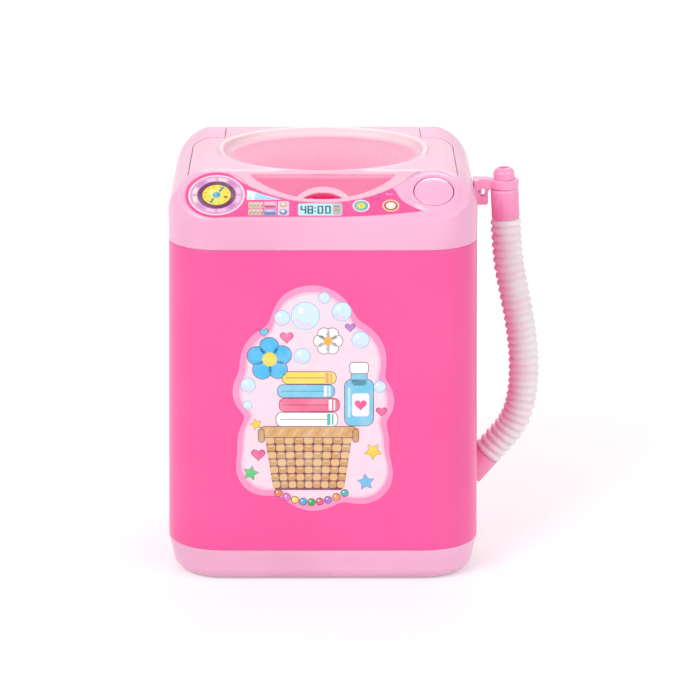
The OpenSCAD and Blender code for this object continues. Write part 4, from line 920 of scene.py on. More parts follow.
def cover_form(x, y, z):
    s, n = on_face(y, z)
    skin = cover_skin(x, y, z)
    ring = np.hypot(x, y - AXIS_Y)
    corner = np.hypot(np.abs(x) - TOP_POST[0], np.abs(y) - TOP_POST[1])
    cup = np.hypot(x - BUTTON[0], s - BUTTON[1])
    hinge = np.hypot(y - hinge_y, z - hinge_z)
    bed = lid_space(x, y, z, LID_GAP + DECK_T, LID_BACK_GAP + DECK_T, DECK_DROP + DECK_T, LID_SUNK + DECK_T)
    bed = join(bed, meet(hinge - HINGE_BLOCK[0], np.abs(x) - HINGE_BLOCK[1]))
    form = without(both(skin, seam_z - z, SEAM_SOFT), both(skin + WALL, -bed, 0.6), 0.2)
    inner = join(meet(ring - COLLAR_R, slab(z, seam_z + 3.6, deck_z)),
                 meet(corner - SCREW_POST_R, seam_z - 3 - z),
                 meet(tub_posts(x, y) - SCREW_POST_R, seam_z + 2.6 - z),
                 meet(cup - CUP_R, slab(n, -15, 1)),
                 meet(hinge - CHEEK_R, slab(np.abs(x), *CHEEK_X)))
    form = join(form, meet(inner, skin))
    form = either(form, both(cup - BOSS_R, slab(n, -2, BOSS_H), 0.6), 1.3)
    lip = meet(plan(x, y, -WALL - PLUG_GAP), -plan(x, y, -WALL - PLUG_GAP - LIP_T),
               slab(z, seam_z - LIP_H, seam_z + 1.5))
    pocket = meet(lid_space(x, y, z, LID_GAP, LID_BACK_GAP, DECK_DROP, LID_SUNK), -rounds(x, y, z, 0))
    trough = join(hinge - REAR_R - 0.3, meet(hinge_y + 1.7 - y, hinge_z - 3.4 - z))
    pocket = join(pocket, meet(trough, np.abs(x) - BARREL_HALF - 0.15))
    form = without(join(form, lip), pocket, 0.14)
    mouth = join(meet(ring - MOUTH_R, seam_z + 1 - z), meet(ring - COLLAR_BORE_R, z - deck_z + DECK_T))
    form = without(form, mouth, 0.35)
    bore = join(meet(cup - CAP_R - CAP_GAP, -5 - n), meet(cup - STEM_BORE_R, -16 - n),
                meet(cup - CUP_BORE_R, n + 6))
    form = without(form, bore, 0.4)
    holes = join(meet(tub_posts(x, y) - COVER_PILOT_R, slab(z, 108, 120)),
                 meet(corner - COVER_PILOT_R, slab(z, 100, 114)),
                 meet(hinge - PIN_HOLE[0], np.abs(x) - PIN_HOLE[1]),
                 meet(np.hypot(y, z - BRACKET_SCREW_Z) - SHANK_R, slab(x, 43, 60)))
    return meet(form, -holes)


COVER_PINK = ink(252, 180, 214)
cover = moulded("moulded_cover", cover_form, cover_low, cover_high, 0.55, 0.3)
x, y, z = points_of(cover).T
s, n = on_face(y, z)
# Painted shade: the cover's points in the button's gap, round the cap and below the boss, are painted a
# deep pink as if in shadow.
marked(cover, "gap", ((np.hypot(x - BUTTON[0], s - BUTTON[1]) < CAP_R + 0.6) & (n < BOSS_H - 0.35)) * 1.0)
cover.data.materials.append(
    moulded_plastic("cover_pink_plastic", COVER_PINK, painted_light=[("gap", ink(240, 40, 130))]))
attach(cover, "housing")
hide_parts("top_cover")

# ---- Console label ------------------------------------------------------------------------
# Glossy hot pink film stuck on the console below the lid's curve, with a dial, pictures of
# washes, a time display and two round lamps. The inks lie on it in thin layers.
FILM_T = 0.2
INK_T = 0.015
LINE = (122, 44, 84)
FILM_DIAL_R = 9.7
FILM_TOP = 15.6
FILM_END = [(21.4, 12.4), (22.3, 10.9), (23.3, 8.5), (24.6, 6.4), (26.6, 4.6), (28.6, 3.3), (30.4, 2.4)]
RISE_X, RISE_S = 5, 2.4


def face_point(x, s, n):
    """A point of the console: distance across, up the slope and out of its face."""
    up = s + LABEL_EDGE
    return (x * MM, (up * math.cos(SLOPE) - n * math.sin(SLOPE) - half_d) * MM,
            (slope_z + up * math.sin(SLOPE) + n * math.cos(SLOPE)) * MM)


def turned_left(outline):
    """The outline run anticlockwise."""
    turn = sum(a[0] * b[1] - b[0] * a[1] for a, b in zip(outline, outline[1:] + outline[:1]))
    return outline if turn > 0 else outline[::-1]


def film_on(name, outline, lay, colour, shade, node):
    """A thin die cut film with its edge turned down to the plastic."""
    outline = turned_left([tuple(p) for p in outline])
    count = len(outline)
    points = [lay(u, v, h) for h in (0.02, FILM_T) for u, v in outline]
    faces = [tuple(range(count, 2 * count))]
    faces += [(k, (k + 1) % count, count + (k + 1) % count, count + k) for k in range(count)]
    film = sheet_mesh(name, points, faces)
    finish = Finish(name + "_finish")
    cloud = finish.noise(45, 3)
    ripple = finish.noise(420, 2)
    skin = finish.mix(cloud.step(0.3, 0.72), colour, shade)
    film.data.materials.append(finish.done(finish.shader(
        Base_Color=skin, Roughness=ripple * 0.08 + 0.24, Coat_Weight=0.35, Coat_Roughness=0.08,
        Normal=finish.bump(ripple + cloud * 4, 0.00002, 0.5))))
    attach(film, "housing")
    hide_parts(node)


def label_outline():
    """The film's edge: round the dial, along the console's foot, up its end and back below the lid."""
    low, high = [], []
    film_x = FILM_END[-1][0]
    round_dial = DIAL[0] - FILM_DIAL_R * np.cos(np.linspace(0, math.pi / 2, 16))
    for x in np.concatenate([round_dial, np.linspace(-31, film_x, 90)]):
        bulge = math.sqrt(max(FILM_DIAL_R ** 2 - (x - DIAL[0]) ** 2, 0))
        foot = DIAL[1] - bulge if x < DIAL[0] else 0.4 * min((x - DIAL[0]) / 6, 1) - 0.4
        if x > RISE_X:
            foot = RISE_S * ((x - RISE_X) / (film_x - RISE_X)) ** 1.7
        under_lid = SMILE[0] - math.sqrt(max(SMILE[1] ** 2 - x * x, 0)) - 0.5 if abs(x) < 38 else 99
        top = DIAL[1] + bulge if x < -25.4 else FILM_TOP
        if x > FILM_END[0][0]:
            top = np.interp(x, *zip(*FILM_END))
        low.append((x, foot))
        high.append((x, max(min(top, under_lid), foot + 0.02)))
    return low + high[::-1]


film_on("label_film", label_outline(), face_point, ink(250, 88, 160), ink(240, 70, 150),
        "console_label")


def arc(u, v, r, turn, tall=None):
    return [(u + r * math.cos(a), v + (tall or r) * math.sin(a)) for a in turn]


def disc(u, v, r, tall=None, grow=0.0):
    return arc(u, v, r + grow, full_turn(40), (tall or r) + grow)


def tile(u0, u1, v0, v1, soft=0.3, grow=0.0):
    """Upright oblong with round corners."""
    soft += grow
    outline = []
    for u, v, i, j, start in ((u1, v1, 1, 1, 0), (u0, v1, -1, 1, 90),
                              (u0, v0, -1, -1, 180), (u1, v0, 1, -1, 270)):
        outline += arc(u + (grow - soft) * i, v + (grow - soft) * j, soft,
                       np.radians(np.linspace(start, start + 90, 5)))
    return outline


def stroke(u0, v0, u1, v1, width, grow=0.0):
    """Straight line with round ends."""
    lean = math.atan2(v1 - v0, u1 - u0)
    r = width / 2 + grow
    half = lean + np.linspace(-math.pi / 2, math.pi / 2, 7)
    return arc(u1, v1, r, half) + arc(u0, v0, r, half + math.pi)


def ring_cell(u, v, r0, r1, start, end):
    turn = np.radians(np.linspace(start, end, 8))
    return arc(u, v, r1, turn) + arc(u, v, r0, turn[::-1])


def heart(u, v, size, grow=0.0):
    size += grow
    waves = ((13, 1), (-5, 2), (-2, 3), (-1, 4))
    return [(u + size * math.sin(a) ** 3, v + size * sum(c * math.cos(k * a) for c, k in waves) / 16)
            for a in full_turn(36)]


def star(u, v, r, turn=0, grow=0.0):
    r += grow
    return [(u + (r if k % 2 else r * 0.52) * math.cos(a), v + (r if k % 2 else r * 0.52) * math.sin(a))
            for k, a in enumerate(np.radians(turn) + full_turn(10))]


class Inks:
    """Coloured patches of ink on a film, laid in layers that each lie just above the last.
    Their colours are given as they are seen on a screen."""

    def __init__(self, lay):
        self.lay, self.points, self.faces, self.colours = lay, [], [], []

    def patch(self, layer, colour, outline):
        start = len(self.points)
        outline = turned_left([tuple(p) for p in outline])
        self.points += [self.lay(u, v, FILM_T + INK_T * (layer + 1)) for u, v in outline]
        self.faces.append(tuple(range(start, len(self.points))))
        self.colours.append(ink(*colour))

    def lined(self, layer, colour, shape, *sizes):
        """A patch with a thin darker line round it."""
        self.patch(layer, LINE, shape(*sizes, grow=0.22))
        self.patch(layer + 1, colour, shape(*sizes))

    def discs(self, u, v, *rings):
        """Discs about one middle, each a layer above the last."""
        for layer, (r, colour) in enumerate(rings):
            self.patch(layer, colour, disc(u, v, r))

    def printed(self, name, finish):
        piece = sheet_mesh(name, self.points, self.faces)
        ink_of = piece.data.color_attributes.new("ink", "FLOAT_COLOR", "CORNER")
        ink_of.data.foreach_set("color", np.concatenate(
            [np.tile(colour, len(face)) for colour, face in zip(self.colours, self.faces)]))
        piece.data.materials.append(finish)
        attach(piece, "housing")


def printing_ink():
    """Glossy printing ink whose colour is kept in the print's own faces."""
    finish = Finish("printing_ink")
    grain = finish.noise(3000, 2)
    cloud = finish.noise(220, 3)
    tint = finish.mark("ink", "Color")
    pale = finish.mix(0.12, tint, (1, 1, 1, 1))
    return finish.done(finish.shader(
        Base_Color=finish.mix(cloud.step(0.35, 0.7), tint, pale), Roughness=grain * 0.1 + 0.26,
        Coat_Weight=0.3, Coat_Roughness=0.1, Normal=finish.bump(grain, 0.00001, 0.4)))


PLUM = (104, 20, 86)
CREAM = (250, 236, 208)
console = Inks(face_point)
DU, DV = DIAL[0], DIAL[1] - 0.25
console.discs(DU, DV, (8.7, (255, 222, 238)), (8.15, (206, 150, 190)), (7.9, (228, 158, 210)))
for k in range(12):
    tone = (214, 132, 196) if k % 3 == 1 else (248, 222, 222) if k in (2, 5, 6) else (240, 196, 228)
    console.patch(3, tone, ring_cell(DU, DV, 6.2, 7.5, 30 * k + 4, 30 * k + 26))
console.patch(3, (150, 60, 128), disc(DU, DV, 5.95))
console.patch(4, PLUM, disc(DU, DV, 5.7))
console.patch(5, (250, 228, 58), disc(DU, DV, 4.35))
for k in range(12):
    console.patch(6, (232, 190, 40), ring_cell(DU, DV, 3.3, 3.9, 30 * k + 9, 30 * k + 19))
console.patch(6, (246, 240, 120), disc(DU - 1.4, DV + 1.2, 1.2))
for u0, v0, u1, v1 in ((-1.7, -3.1, -1.0, -1.7), (1.0, 1.7, 1.9, 3.3)):
    console.patch(7, (38, 140, 140), stroke(DU + u0, DV + v0, DU + u1, DV + v1, 0.75))
console.patch(7, (196, 110, 40), disc(DU + 2.8, DV - 0.9, 0.62))
console.patch(7, (40, 160, 214), disc(DU, DV, 1.2))
console.patch(8, (120, 208, 236), disc(DU - 0.3, DV + 0.3, 0.45))
wedge = ((-23.4, 11.4), (-20.8, 10.4), (-18.4, 9.35), (-16, 8.4), (-14.2, 7.8), (-12.7, 7.15))
for (u0, v0), (u1, v1), colour in zip(wedge, wedge[1:], (
        (232, 246, 252), (172, 232, 248), (190, 224, 248), (206, 208, 240), (226, 190, 228))):
    console.patch(0, colour, [(u0, 7), (u1, 7), (u1, v1), (u0, v0)])
for k in range(4):
    console.patch(1, (150, 196, 224), stroke(-23 + 1.9 * k, 7.6, -21.9 + 1.9 * k, 7.6, 0.25))
    console.patch(1, (170, 206, 230), stroke(-23 + 1.6 * k, 8.5, -22.2 + 1.6 * k, 8.5, 0.22))
for v0, v1, dark in ((3.3, 6.1, (178, 150, 136)), (0.35, 3.05, (156, 140, 126))):
    console.patch(0, (214, 190, 170), tile(-22.9, -18.5, v0, v1))
    for k in range(4):
        console.patch(1, dark, stroke(-22.3 + 1.1 * k, v0 + 0.7, -21.8 + 1.1 * k, v0 + 1.5, 0.35))
        console.patch(1, CREAM, stroke(-22.2 + 1.1 * k, v1 - 0.6, -21.9 + 1.1 * k, v1 - 0.6, 0.35))
console.patch(0, (240, 168, 204), tile(-18.2, -14.2, 3.3, 6.3))
console.patch(1, (196, 26, 84), tile(-18.0, -14.4, 3.6, 4.5, 0.4))
console.patch(1, (250, 206, 226), stroke(-17.2, 5.4, -15.4, 5.4, 0.5))
console.patch(0, (184, 170, 214), tile(-18.2, -14.2, 0.35, 3.05))
console.patch(1, (70, 134, 176), tile(-18.0, -14.4, 0.5, 1.7, 0.4))
console.patch(1, (224, 222, 240), stroke(-17.2, 2.3, -15.4, 2.3, 0.45))
console.patch(0, (240, 208, 232), tile(-13.8, -10.4, 0.3, 6.4, 0.5))
console.patch(1, (214, 170, 128), disc(-12.1, 4.9, 1.15))
console.patch(2, (250, 232, 200), disc(-12.2, 5.1, 0.6))
console.patch(1, (86, 116, 166), disc(-12.1, 1.75, 1.25))
console.patch(2, (226, 238, 250), disc(-12.3, 2.1, 0.65))
console.patch(0, (170, 210, 226), tile(-7.7, 5.9, 0.15, 5.5, 0.8))
console.patch(1, (196, 240, 252), tile(-7.4, 5.6, 0.4, 5.25, 0.6))
console.patch(2, (196, 180, 172), tile(3.0, 5.5, 0.55, 5.1, 0.5))
console.patch(3, (146, 126, 122), stroke(3.5, 4.1, 5.0, 4.1, 0.4))
console.patch(3, (168, 148, 140), stroke(3.6, 2.6, 4.9, 2.6, 0.5))
SEGMENTS = {"a": (0, 2, 1, 2), "b": (1, 1, 1, 2), "c": (1, 0, 1, 1), "d": (0, 0, 1, 0),
            "e": (0, 0, 0, 1), "f": (0, 1, 0, 2), "g": (0, 1, 1, 1)}
DIGIT_W, DIGIT_H = 1.25, 1.45
DIGIT_BLUE = (34, 104, 132)
for u, lit in ((-6.6, "bcfg"), (-4.5, "abcdefg"), (-1.4, "abcdef"), (0.9, "abcdef")):
    for mark in lit:
        u0, v0, u1, v1 = SEGMENTS[mark]
        console.patch(3, DIGIT_BLUE, stroke(u + u0 * DIGIT_W, 1.25 + v0 * DIGIT_H,
                                            u + u1 * DIGIT_W, 1.25 + v1 * DIGIT_H, 0.55))
for v in (2.0, 3.5):
    console.patch(3, DIGIT_BLUE, disc(-2.35, v, 0.3))
console.discs(11.7, 4.4, (2.6, (238, 236, 250)), (2.15, (128, 134, 220)), (1.8, (112, 206, 128)),
              (1.1, (246, 226, 70)), (0.5, (246, 170, 60)))
console.discs(20.8, 4.5, (2.6, (252, 204, 160)), (2.05, (150, 62, 70)), (1.55, (252, 222, 212)),
              (0.8, (255, 246, 236)))
console.patch(0, (236, 124, 204), ring_cell(20.4, 10.4, 0.8, 1.45, 205, 335))
for k in range(4):
    console.patch(0, (196, 40, 112), disc(14.6 + 0.9 * k, 7.2 + 0.12 * k, 0.28))
label_ink = printing_ink()
console.printed("console_print", label_ink)

# ---- Front sticker ------------------------------------------------------------------------
# Die cut film on the front wall with a pale border. Its print is a wash day picture: a wicker
# basket of folded towels, a soap bottle, bubbles, blossoms, hearts and stars.
DECAL_X, DECAL_Z = -3, 60.5
LOBES = [(0, 0, 19), (-10, -14, 14), (9, -14, 15), (-10, 12, 13), (9, 13, 14), (0, 24, 13.4),
         (-15, -22, 9.5), (15, -24, 10.3), (0, -24, 12.5), (-16, 3, 9.4), (16, 0, 9.5), (-3, 27, 9.5)]


def front_point(u, v, n):
    """A point of the front wall by its distance from the sticker's middle, and out of the wall."""
    z = DECAL_Z + v
    return ((DECAL_X + u) * MM, -(half_d + flare(z) + n) * MM, z * MM)


def sticker_outline(inward):
    """The sticker's edge, which runs smoothly round its lobes."""
    outline = []
    for a in np.linspace(0, 2 * math.pi, 180, endpoint=False):
        reach = []
        for u, v, r in LOBES:
            along, off = u * math.cos(a) + v * math.sin(a), u * math.sin(a) - v * math.cos(a)
            if abs(off) < r:
                reach.append(along + math.sqrt(r * r - off * off))
        far = max(reach)
        soft = math.log(sum(math.exp((q - far) / 1.5) for q in reach)) * 1.5
        outline.append(min(far + soft * 0.3, far + 0.3) - inward)
    outline = np.array(outline)
    for _ in range(4):
        outline = (np.roll(outline, 1) + 2 * outline + np.roll(outline, -1)) / 4
    return [(r * math.cos(a), r * math.sin(a)) for r, a in
            zip(outline, np.linspace(0, 2 * math.pi, 180, endpoint=False))]


film_on("sticker_film", sticker_outline(0.3), front_point, ink(255, 146, 198), ink(255, 160, 206),
        "front_decal")
art = Inks(front_point)
art.patch(0, (255, 196, 224), sticker_outline(2.4))
art.patch(1, (255, 222, 238), sticker_outline(3.2))


def blossom(u, v, r, petal, heart_of, turn=0, count=5):
    for layer, colour, grow in ((3, LINE, 0.2), (4, petal, 0)):
        for petal_u, petal_v in arc(u, v, r * 0.62, math.radians(turn) + full_turn(count)):
            art.patch(layer, colour, disc(petal_u, petal_v, r * 0.44, grow=grow))
    art.patch(5, heart_of, disc(u, v, r * 0.34))


def bubble(u, v, r):
    art.patch(3, (132, 190, 228), disc(u, v, r, grow=0.18))
    art.patch(4, (214, 240, 252), disc(u, v, r))
    art.patch(5, (236, 216, 246), ring_cell(u, v, r * 0.55, r * 0.85, 200, 300))
    art.patch(5, (255, 255, 255), disc(u - r * 0.35, v + r * 0.38, r * 0.2, r * 0.26))


def bottle(u, v):
    art.lined(3, (120, 204, 240), tile, u - 4.4, u + 4.4, v, v + 15, 2.2)
    art.lined(3, (120, 204, 240), tile, u - 2.4, u + 2.4, v + 13, v + 17.5, 1.2)
    art.lined(5, (255, 255, 255), tile, u - 2.8, u + 2.8, v + 17, v + 20.4, 0.9)
    art.patch(5, (200, 236, 250), stroke(u - 3.1, v + 3, u - 3.1, v + 12, 0.8))
    art.patch(5, (255, 246, 250), tile(u - 2.2, u + 3.2, v + 3, v + 10.5, 1))
    art.patch(6, (244, 84, 150), heart(u + 0.5, v + 6.8, 1.9))


def towel(u0, u1, v0, v1, colour, stripe):
    art.lined(3, colour, tile, u0, u1, v0, v1, 1.6)
    middle = (v0 + v1) / 2
    art.patch(5, LINE, stroke(u0 + 1.2, middle, u1 - 3.4, middle, 0.18))
    art.patch(5, stripe, tile(u1 - 3.2, u1 - 2.2, v0 + 0.3, v1 - 0.3, 0.2))
    art.patch(5, stripe, tile(u1 - 1.7, u1 - 1.2, v0 + 0.4, v1 - 0.4, 0.2))


bottle(14.2, -8)
blossom(-13.5, 13.5, 6.6, (66, 190, 246), (252, 222, 52), 20)
towel(-11.5, 7.5, -8.2, -3.8, (255, 255, 255), (60, 190, 176))
towel(-10.5, 8.0, -3.4, 0.8, (250, 108, 150), (255, 255, 255))
towel(-11.0, 6.5, 1.2, 5.2, (122, 208, 242), (255, 255, 255))
towel(-9.5, 7.0, 5.6, 9.4, (252, 226, 92), (250, 150, 60))
art.lined(6, (224, 172, 112), tile, -16.5, 13.5, -11.8, -8.4, 1.5)
WEAVE = ((236, 190, 128), (214, 158, 96), (244, 206, 150))
art.patch(3, LINE, [(-15.2, -11), (12.2, -11), (9.6, -28.2), (8.6, -29.2), (-11.6, -29.2), (-12.6, -28.2)])
for row in range(7):
    v0 = -28.6 + row * 2.42
    half = 11.2 + (row + 0.5) * 0.36
    cells = 9
    for k in range(cells):
        u0 = -1.5 - half + 2 * half * k / cells
        u1 = u0 + 2 * half / cells
        art.patch(4, WEAVE[(k + row) % 2], tile(u0 + 0.1, u1 - 0.1, v0 + 0.12, v0 + 2.3, 0.7))
        if (k + row) % 2:
            art.patch(5, WEAVE[2], stroke(u0 + 0.8, v0 + 1.7, u1 - 0.8, v0 + 1.7, 0.35))
for k in range(13):
    u = -15.4 + k * 2.33
    art.patch(8, WEAVE[k % 2], stroke(u, -11.0, u + 1.3, -9.2, 0.8))
for u in (-16.2, 13.2):
    art.lined(8, (214, 158, 96), stroke, u, -12.6, u, -10.0, 1.6)
blossom(4.6, 19.4, 4.2, (255, 255, 255), (250, 176, 60), 0, 6)
for u, v, r in ((-2.4, 27.5, 4.3), (8.8, 28.8, 2.9), (3.4, 33.2, 1.7), (-9.6, 26.8, 2.3), (-3.4, 14.6, 2.4),
                (14.6, 19.8, 2.6), (-20.2, 5.2, 2.2), (20.6, 4.6, 1.8), (-20.4, -1.4, 1.3)):
    bubble(u, v, r)
for u, v, size, colour in ((-8.2, 20.6, 1.9, (250, 96, 160)), (11.4, 23.8, 1.4, (196, 120, 214)),
                           (-17.2, -17.5, 2.0, (244, 84, 150)), (-15.2, 22.2, 1.3, (110, 208, 240)),
                           (21.2, -3.4, 1.5, (250, 96, 160))):
    art.lined(3, colour, heart, u, v, size)
for u, v, r, turn, colour in (
        (18.6, -16.4, 2.7, 18, (252, 216, 60)), (-19.6, -23.6, 2.4, 40, (90, 204, 120)),
        (16.4, -26.6, 2.6, 60, (96, 190, 244)), (-17.8, -7.6, 1.8, 0, (252, 216, 60))):
    art.lined(3, colour, star, u, v, r, turn)
BEADS = ((240, 130, 40), (228, 110, 200), (250, 220, 40), (66, 180, 240), (60, 180, 80),
         (246, 90, 130), (170, 110, 220), (250, 150, 50), (60, 190, 180))
for k, colour in enumerate(BEADS):
    u = -11 + 2.6 * k
    art.lined(3, colour, disc, u, -33.2 + 0.028 * (u + 0.6) ** 2, 1.05)
    art.patch(5, (255, 255, 255), disc(u - 0.35, -32.85 + 0.028 * (u + 0.6) ** 2, 0.25))
art.printed("sticker_print", label_ink)

# ---- Tub, ring and gasket -----------------------------------------------------------------
# White moulded tub that hangs from the cover on four screws, with the ring that closes it and a
# black rubber gasket between them. An acetal bush and a lip seal carry the drum's shaft.
def rubber(name, colour):
    """Matt black rubber with fine grain and a little pale dust."""
    finish = Finish(name)
    grain = finish.noise(1800, 3)
    dust = finish.noise(240, 4, 0.6).step(0.5, 0.8)
    skin = finish.mix(dust * 0.22, colour, ink(120, 116, 118))
    return finish.done(finish.shader(
        Base_Color=skin, Roughness=grain * 0.15 + dust * 0.1 + 0.55,
        Normal=finish.bump(grain, 0.00003, 0.6)))


coat(steel, "cover_screws", "tub_screws")
coat(moulded_plastic("tub_white_plastic", ink(238, 238, 244), 0.02, 0.3, 0.1), "wash_tub", "tub_ring")
coat(rubber("black_rubber", ink(26, 26, 28)), "tub_gasket", "shaft_seal")

# ---- Gear plate, motor and switch ---------------------------------------------------------
# A plate of ivory acetal below the tub carries the drum's gears and the small can motor, which
# has a flat sided steel can and a moulded end cap. The push switch hangs below the button.
acetal = moulded_plastic("ivory_acetal", ink(236, 230, 212), 0.03, 0.42, 0.0)
coat(acetal, "gear_plate", "shaft_bush", "switch_body")
coat(moulded_plastic("motor_cap_plastic", ink(232, 226, 214), 0.04, 0.45, 0.0), "motor_end_cap")
coat(metal("drawn_motor_can", ink(196, 198, 200), 0.3, 700, (1, 1, 0.08)), "motor_can")
coat(steel, "plate_screws", "motor_screws", "button_spring")


def vinyl(name, colour, milk=0.3, rough=0.3):
    """Soft vinyl: milky, slightly uneven and finely grained."""
    finish = Finish(name)
    cloud = finish.noise(90, 3)
    grain = finish.noise(1500, 2)
    skin = finish.mix(cloud.step(0.3, 0.7), colour, toned(colour, 1.25))
    return finish.done(finish.shader(
        Base_Color=skin, Roughness=grain * 0.12 + rough, Subsurface_Weight=milk, Subsurface_Scale=0.002,
        Normal=finish.bump(grain + cloud * 2, 0.00002, 0.5)))


# ---- Drain pipe, outlet bush and leads ----------------------------------------------------
# A clear vinyl pipe runs from the tub's floor to a rose pink bush in the right wall, where the
# hose's elbow turns. Thin vinyl leads join the contacts, the switch and the motor.
coat(vinyl("clear_drain_vinyl", ink(218, 224, 232)), "drain_pipe")
coat(rose, "outlet_bush")
coat(vinyl("red_lead_vinyl", ink(150, 22, 26), 0.05, 0.35), "wiring")

# ---- Hose bracket -------------------------------------------------------------------------
# Rose pink moulding screwed to the cover's right side. Its arm has a slot and a moulding mark,
# and ends in an open ring that the nozzle's nose clips into.
RING_LOW = 118.03
RING_T = 3
RING_X = 57.77
RING_IN = 3.5
RING_OUT = 4.65
ARM_H = 8.3
ARM_HALF = 2
ARM_OUT = 4.6
PAD_HALF = 3.5
PAD_OUT = 1.5
SLOT = (51.05, 116.83, 0.55, 1.3)
DOT = (49.7, 117.23, 0.4)


def pillow(x, y, z, x0, x1, y0, y1, z0, z1, r):
    """Brick with round edges."""
    out = [slab(v, a, b) + r for v, a, b in ((x, x0, x1), (y, y0, y1), (z, z0, z1))]
    return np.sqrt(sum(np.maximum(v, 0) ** 2 for v in out)) + np.minimum(meet(*out), 0) - r


def bracket_form(x, y, z):
    high = RING_LOW + RING_T
    low = high - ARM_H
    arm = pillow(x, y, z, half_w - 3, half_w + ARM_OUT, -ARM_HALF, ARM_HALF, low, high, 0.7)
    pad = pillow(x, y, z, half_w - 3, half_w + PAD_OUT, -PAD_HALF, PAD_HALF, low, high, 0.6)
    reach = pillow(x, y, z, half_w + 1, RING_X - 2, -ARM_HALF, ARM_HALF, RING_LOW, high, 0.6)
    ring = both(np.hypot(x - RING_X, y) - RING_OUT, slab(z, RING_LOW, high), 0.5)
    form = either(either(either(arm, pad, 0.5), reach, 1.2), ring, 0.6)
    form = meet(form, half_w - x)
    off_x, off_z = x - HOSE_END[0], z - HOSE_END[1]
    across = off_x * nozzle_way[2] - off_z * nozzle_way[0]
    bore = np.hypot(across, y) - RING_IN
    mouth = meet(np.abs(across) - RING_IN, -y)
    form = without(form, meet(join(bore, mouth), RING_LOW - 0.3 - z), 0.3)
    slot = both(np.abs(x - SLOT[0]) - SLOT[2], np.abs(z - SLOT[1]) - SLOT[3], 0.4)
    form = without(form, slot, 0.25)
    form = without(form, np.hypot(x - DOT[0], z - DOT[1]) - DOT[2], 0.15)
    return meet(form, -meet(np.hypot(y, z - BRACKET_SCREW_Z) - COVER_PILOT_R, x - half_w - 3))


bracket_low, bracket_high = span("hose_bracket")
bracket = moulded("moulded_bracket", bracket_form, bracket_low, bracket_high, 0.2, 0.5)
bracket.data.materials.append(rose)
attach(bracket, "housing")
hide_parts("hose_bracket")
coat(steel, "bracket_screw")

# ---- Push button --------------------------------------------------------------------------
# Domed pale pink cap with a stem that reaches down to the switch, held by a steel clip on the
# stem below the cup. A coil spring under the cap pushes it back up.
CAP_LOW = -1.6
CAP_EDGE = 0.5
CAP_TOP = 1.6
STEM_R = 2.2
STEM_END = -12.05
BUTTON_PINK = ink(253, 180, 216)
dome = [(CAP_R * math.cos(a), CAP_EDGE + (CAP_TOP - CAP_EDGE) * math.sin(a))
        for a in np.radians(np.arange(12, 86, 6))]
stem = [(0, STEM_END), (STEM_R, STEM_END), (STEM_R, CAP_LOW), (CAP_R, CAP_LOW), (CAP_R, CAP_EDGE - 0.2)]
button = lathed("button_cap", stem + dome + [(0, CAP_TOP)], 0.4,
                np.array(face_point(BUTTON[0], BUTTON[1], 0)) / MM,
                (0, -math.sin(SLOPE), math.cos(SLOPE)), (0, math.cos(SLOPE), math.sin(SLOPE)))
button.data.materials.append(moulded_plastic("button_pink_plastic", BUTTON_PINK, 0.02, 0.2, 0.35))
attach(button, "button")
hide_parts("power_button")
coat(steel, "button_clip")

# ---- Lid ----------------------------------------------------------------------------------
# One paler moulding that follows the cover's skin. It has an oval dish inside a raised rim, a
# crescent finger scoop with a small arch on the slope, and a barrel with two pins behind.
LID_T = 1.8
ALL_DEEP = 20
PIN_R, PIN_L = 1.5, 3
BOWL_T = 1.6
DISH_A, DISH_B = 31.5, 26.5
DISH_DROP = 1.5
RIM_W = 2.2
SCOOP_DROP = 1.7
SCOOP_T = 1.2
SCOOP_RIM = 1.5
SCOOP_R = 29.3
SCOOP_BAND = 1.6
NOTCH = (6.5, 2.9)
ARCH = (8.6, 5.5)
NOTCH_DEEP = 1.3
notch_s = SMILE[0] - SMILE[1] + SCOOP_RIM
dish_y = brow_y + 0.1 + DISH_B
dish_z = top_z - DISH_DROP
label_top = (top_z - slope_z) / math.sin(SLOPE) - LABEL_EDGE


def dish(x, y, grow):
    """Distance from the oval of the dish, drawn out by grow."""
    a, b = DISH_A + grow, DISH_B + grow
    u, v = x / a, (y - dish_y) / b
    k = np.hypot(u, v)
    return (k - 1) * np.where(k < 0.01, b, k / np.maximum(np.hypot(u / a, v / b), 1e-6))


def arch(x, s, w, h):
    """Distance from a circle through the notch's two feet and its crown."""
    r = (w * w + h * h) / (2 * h)
    return np.hypot(x, s - notch_s - h + r) - r


def scoop(x, s, inward):
    return both(np.hypot(x, s - notch_s - SCOOP_R) - SCOOP_R + inward,
                s - label_top + SCOOP_BAND + inward, 0.9)


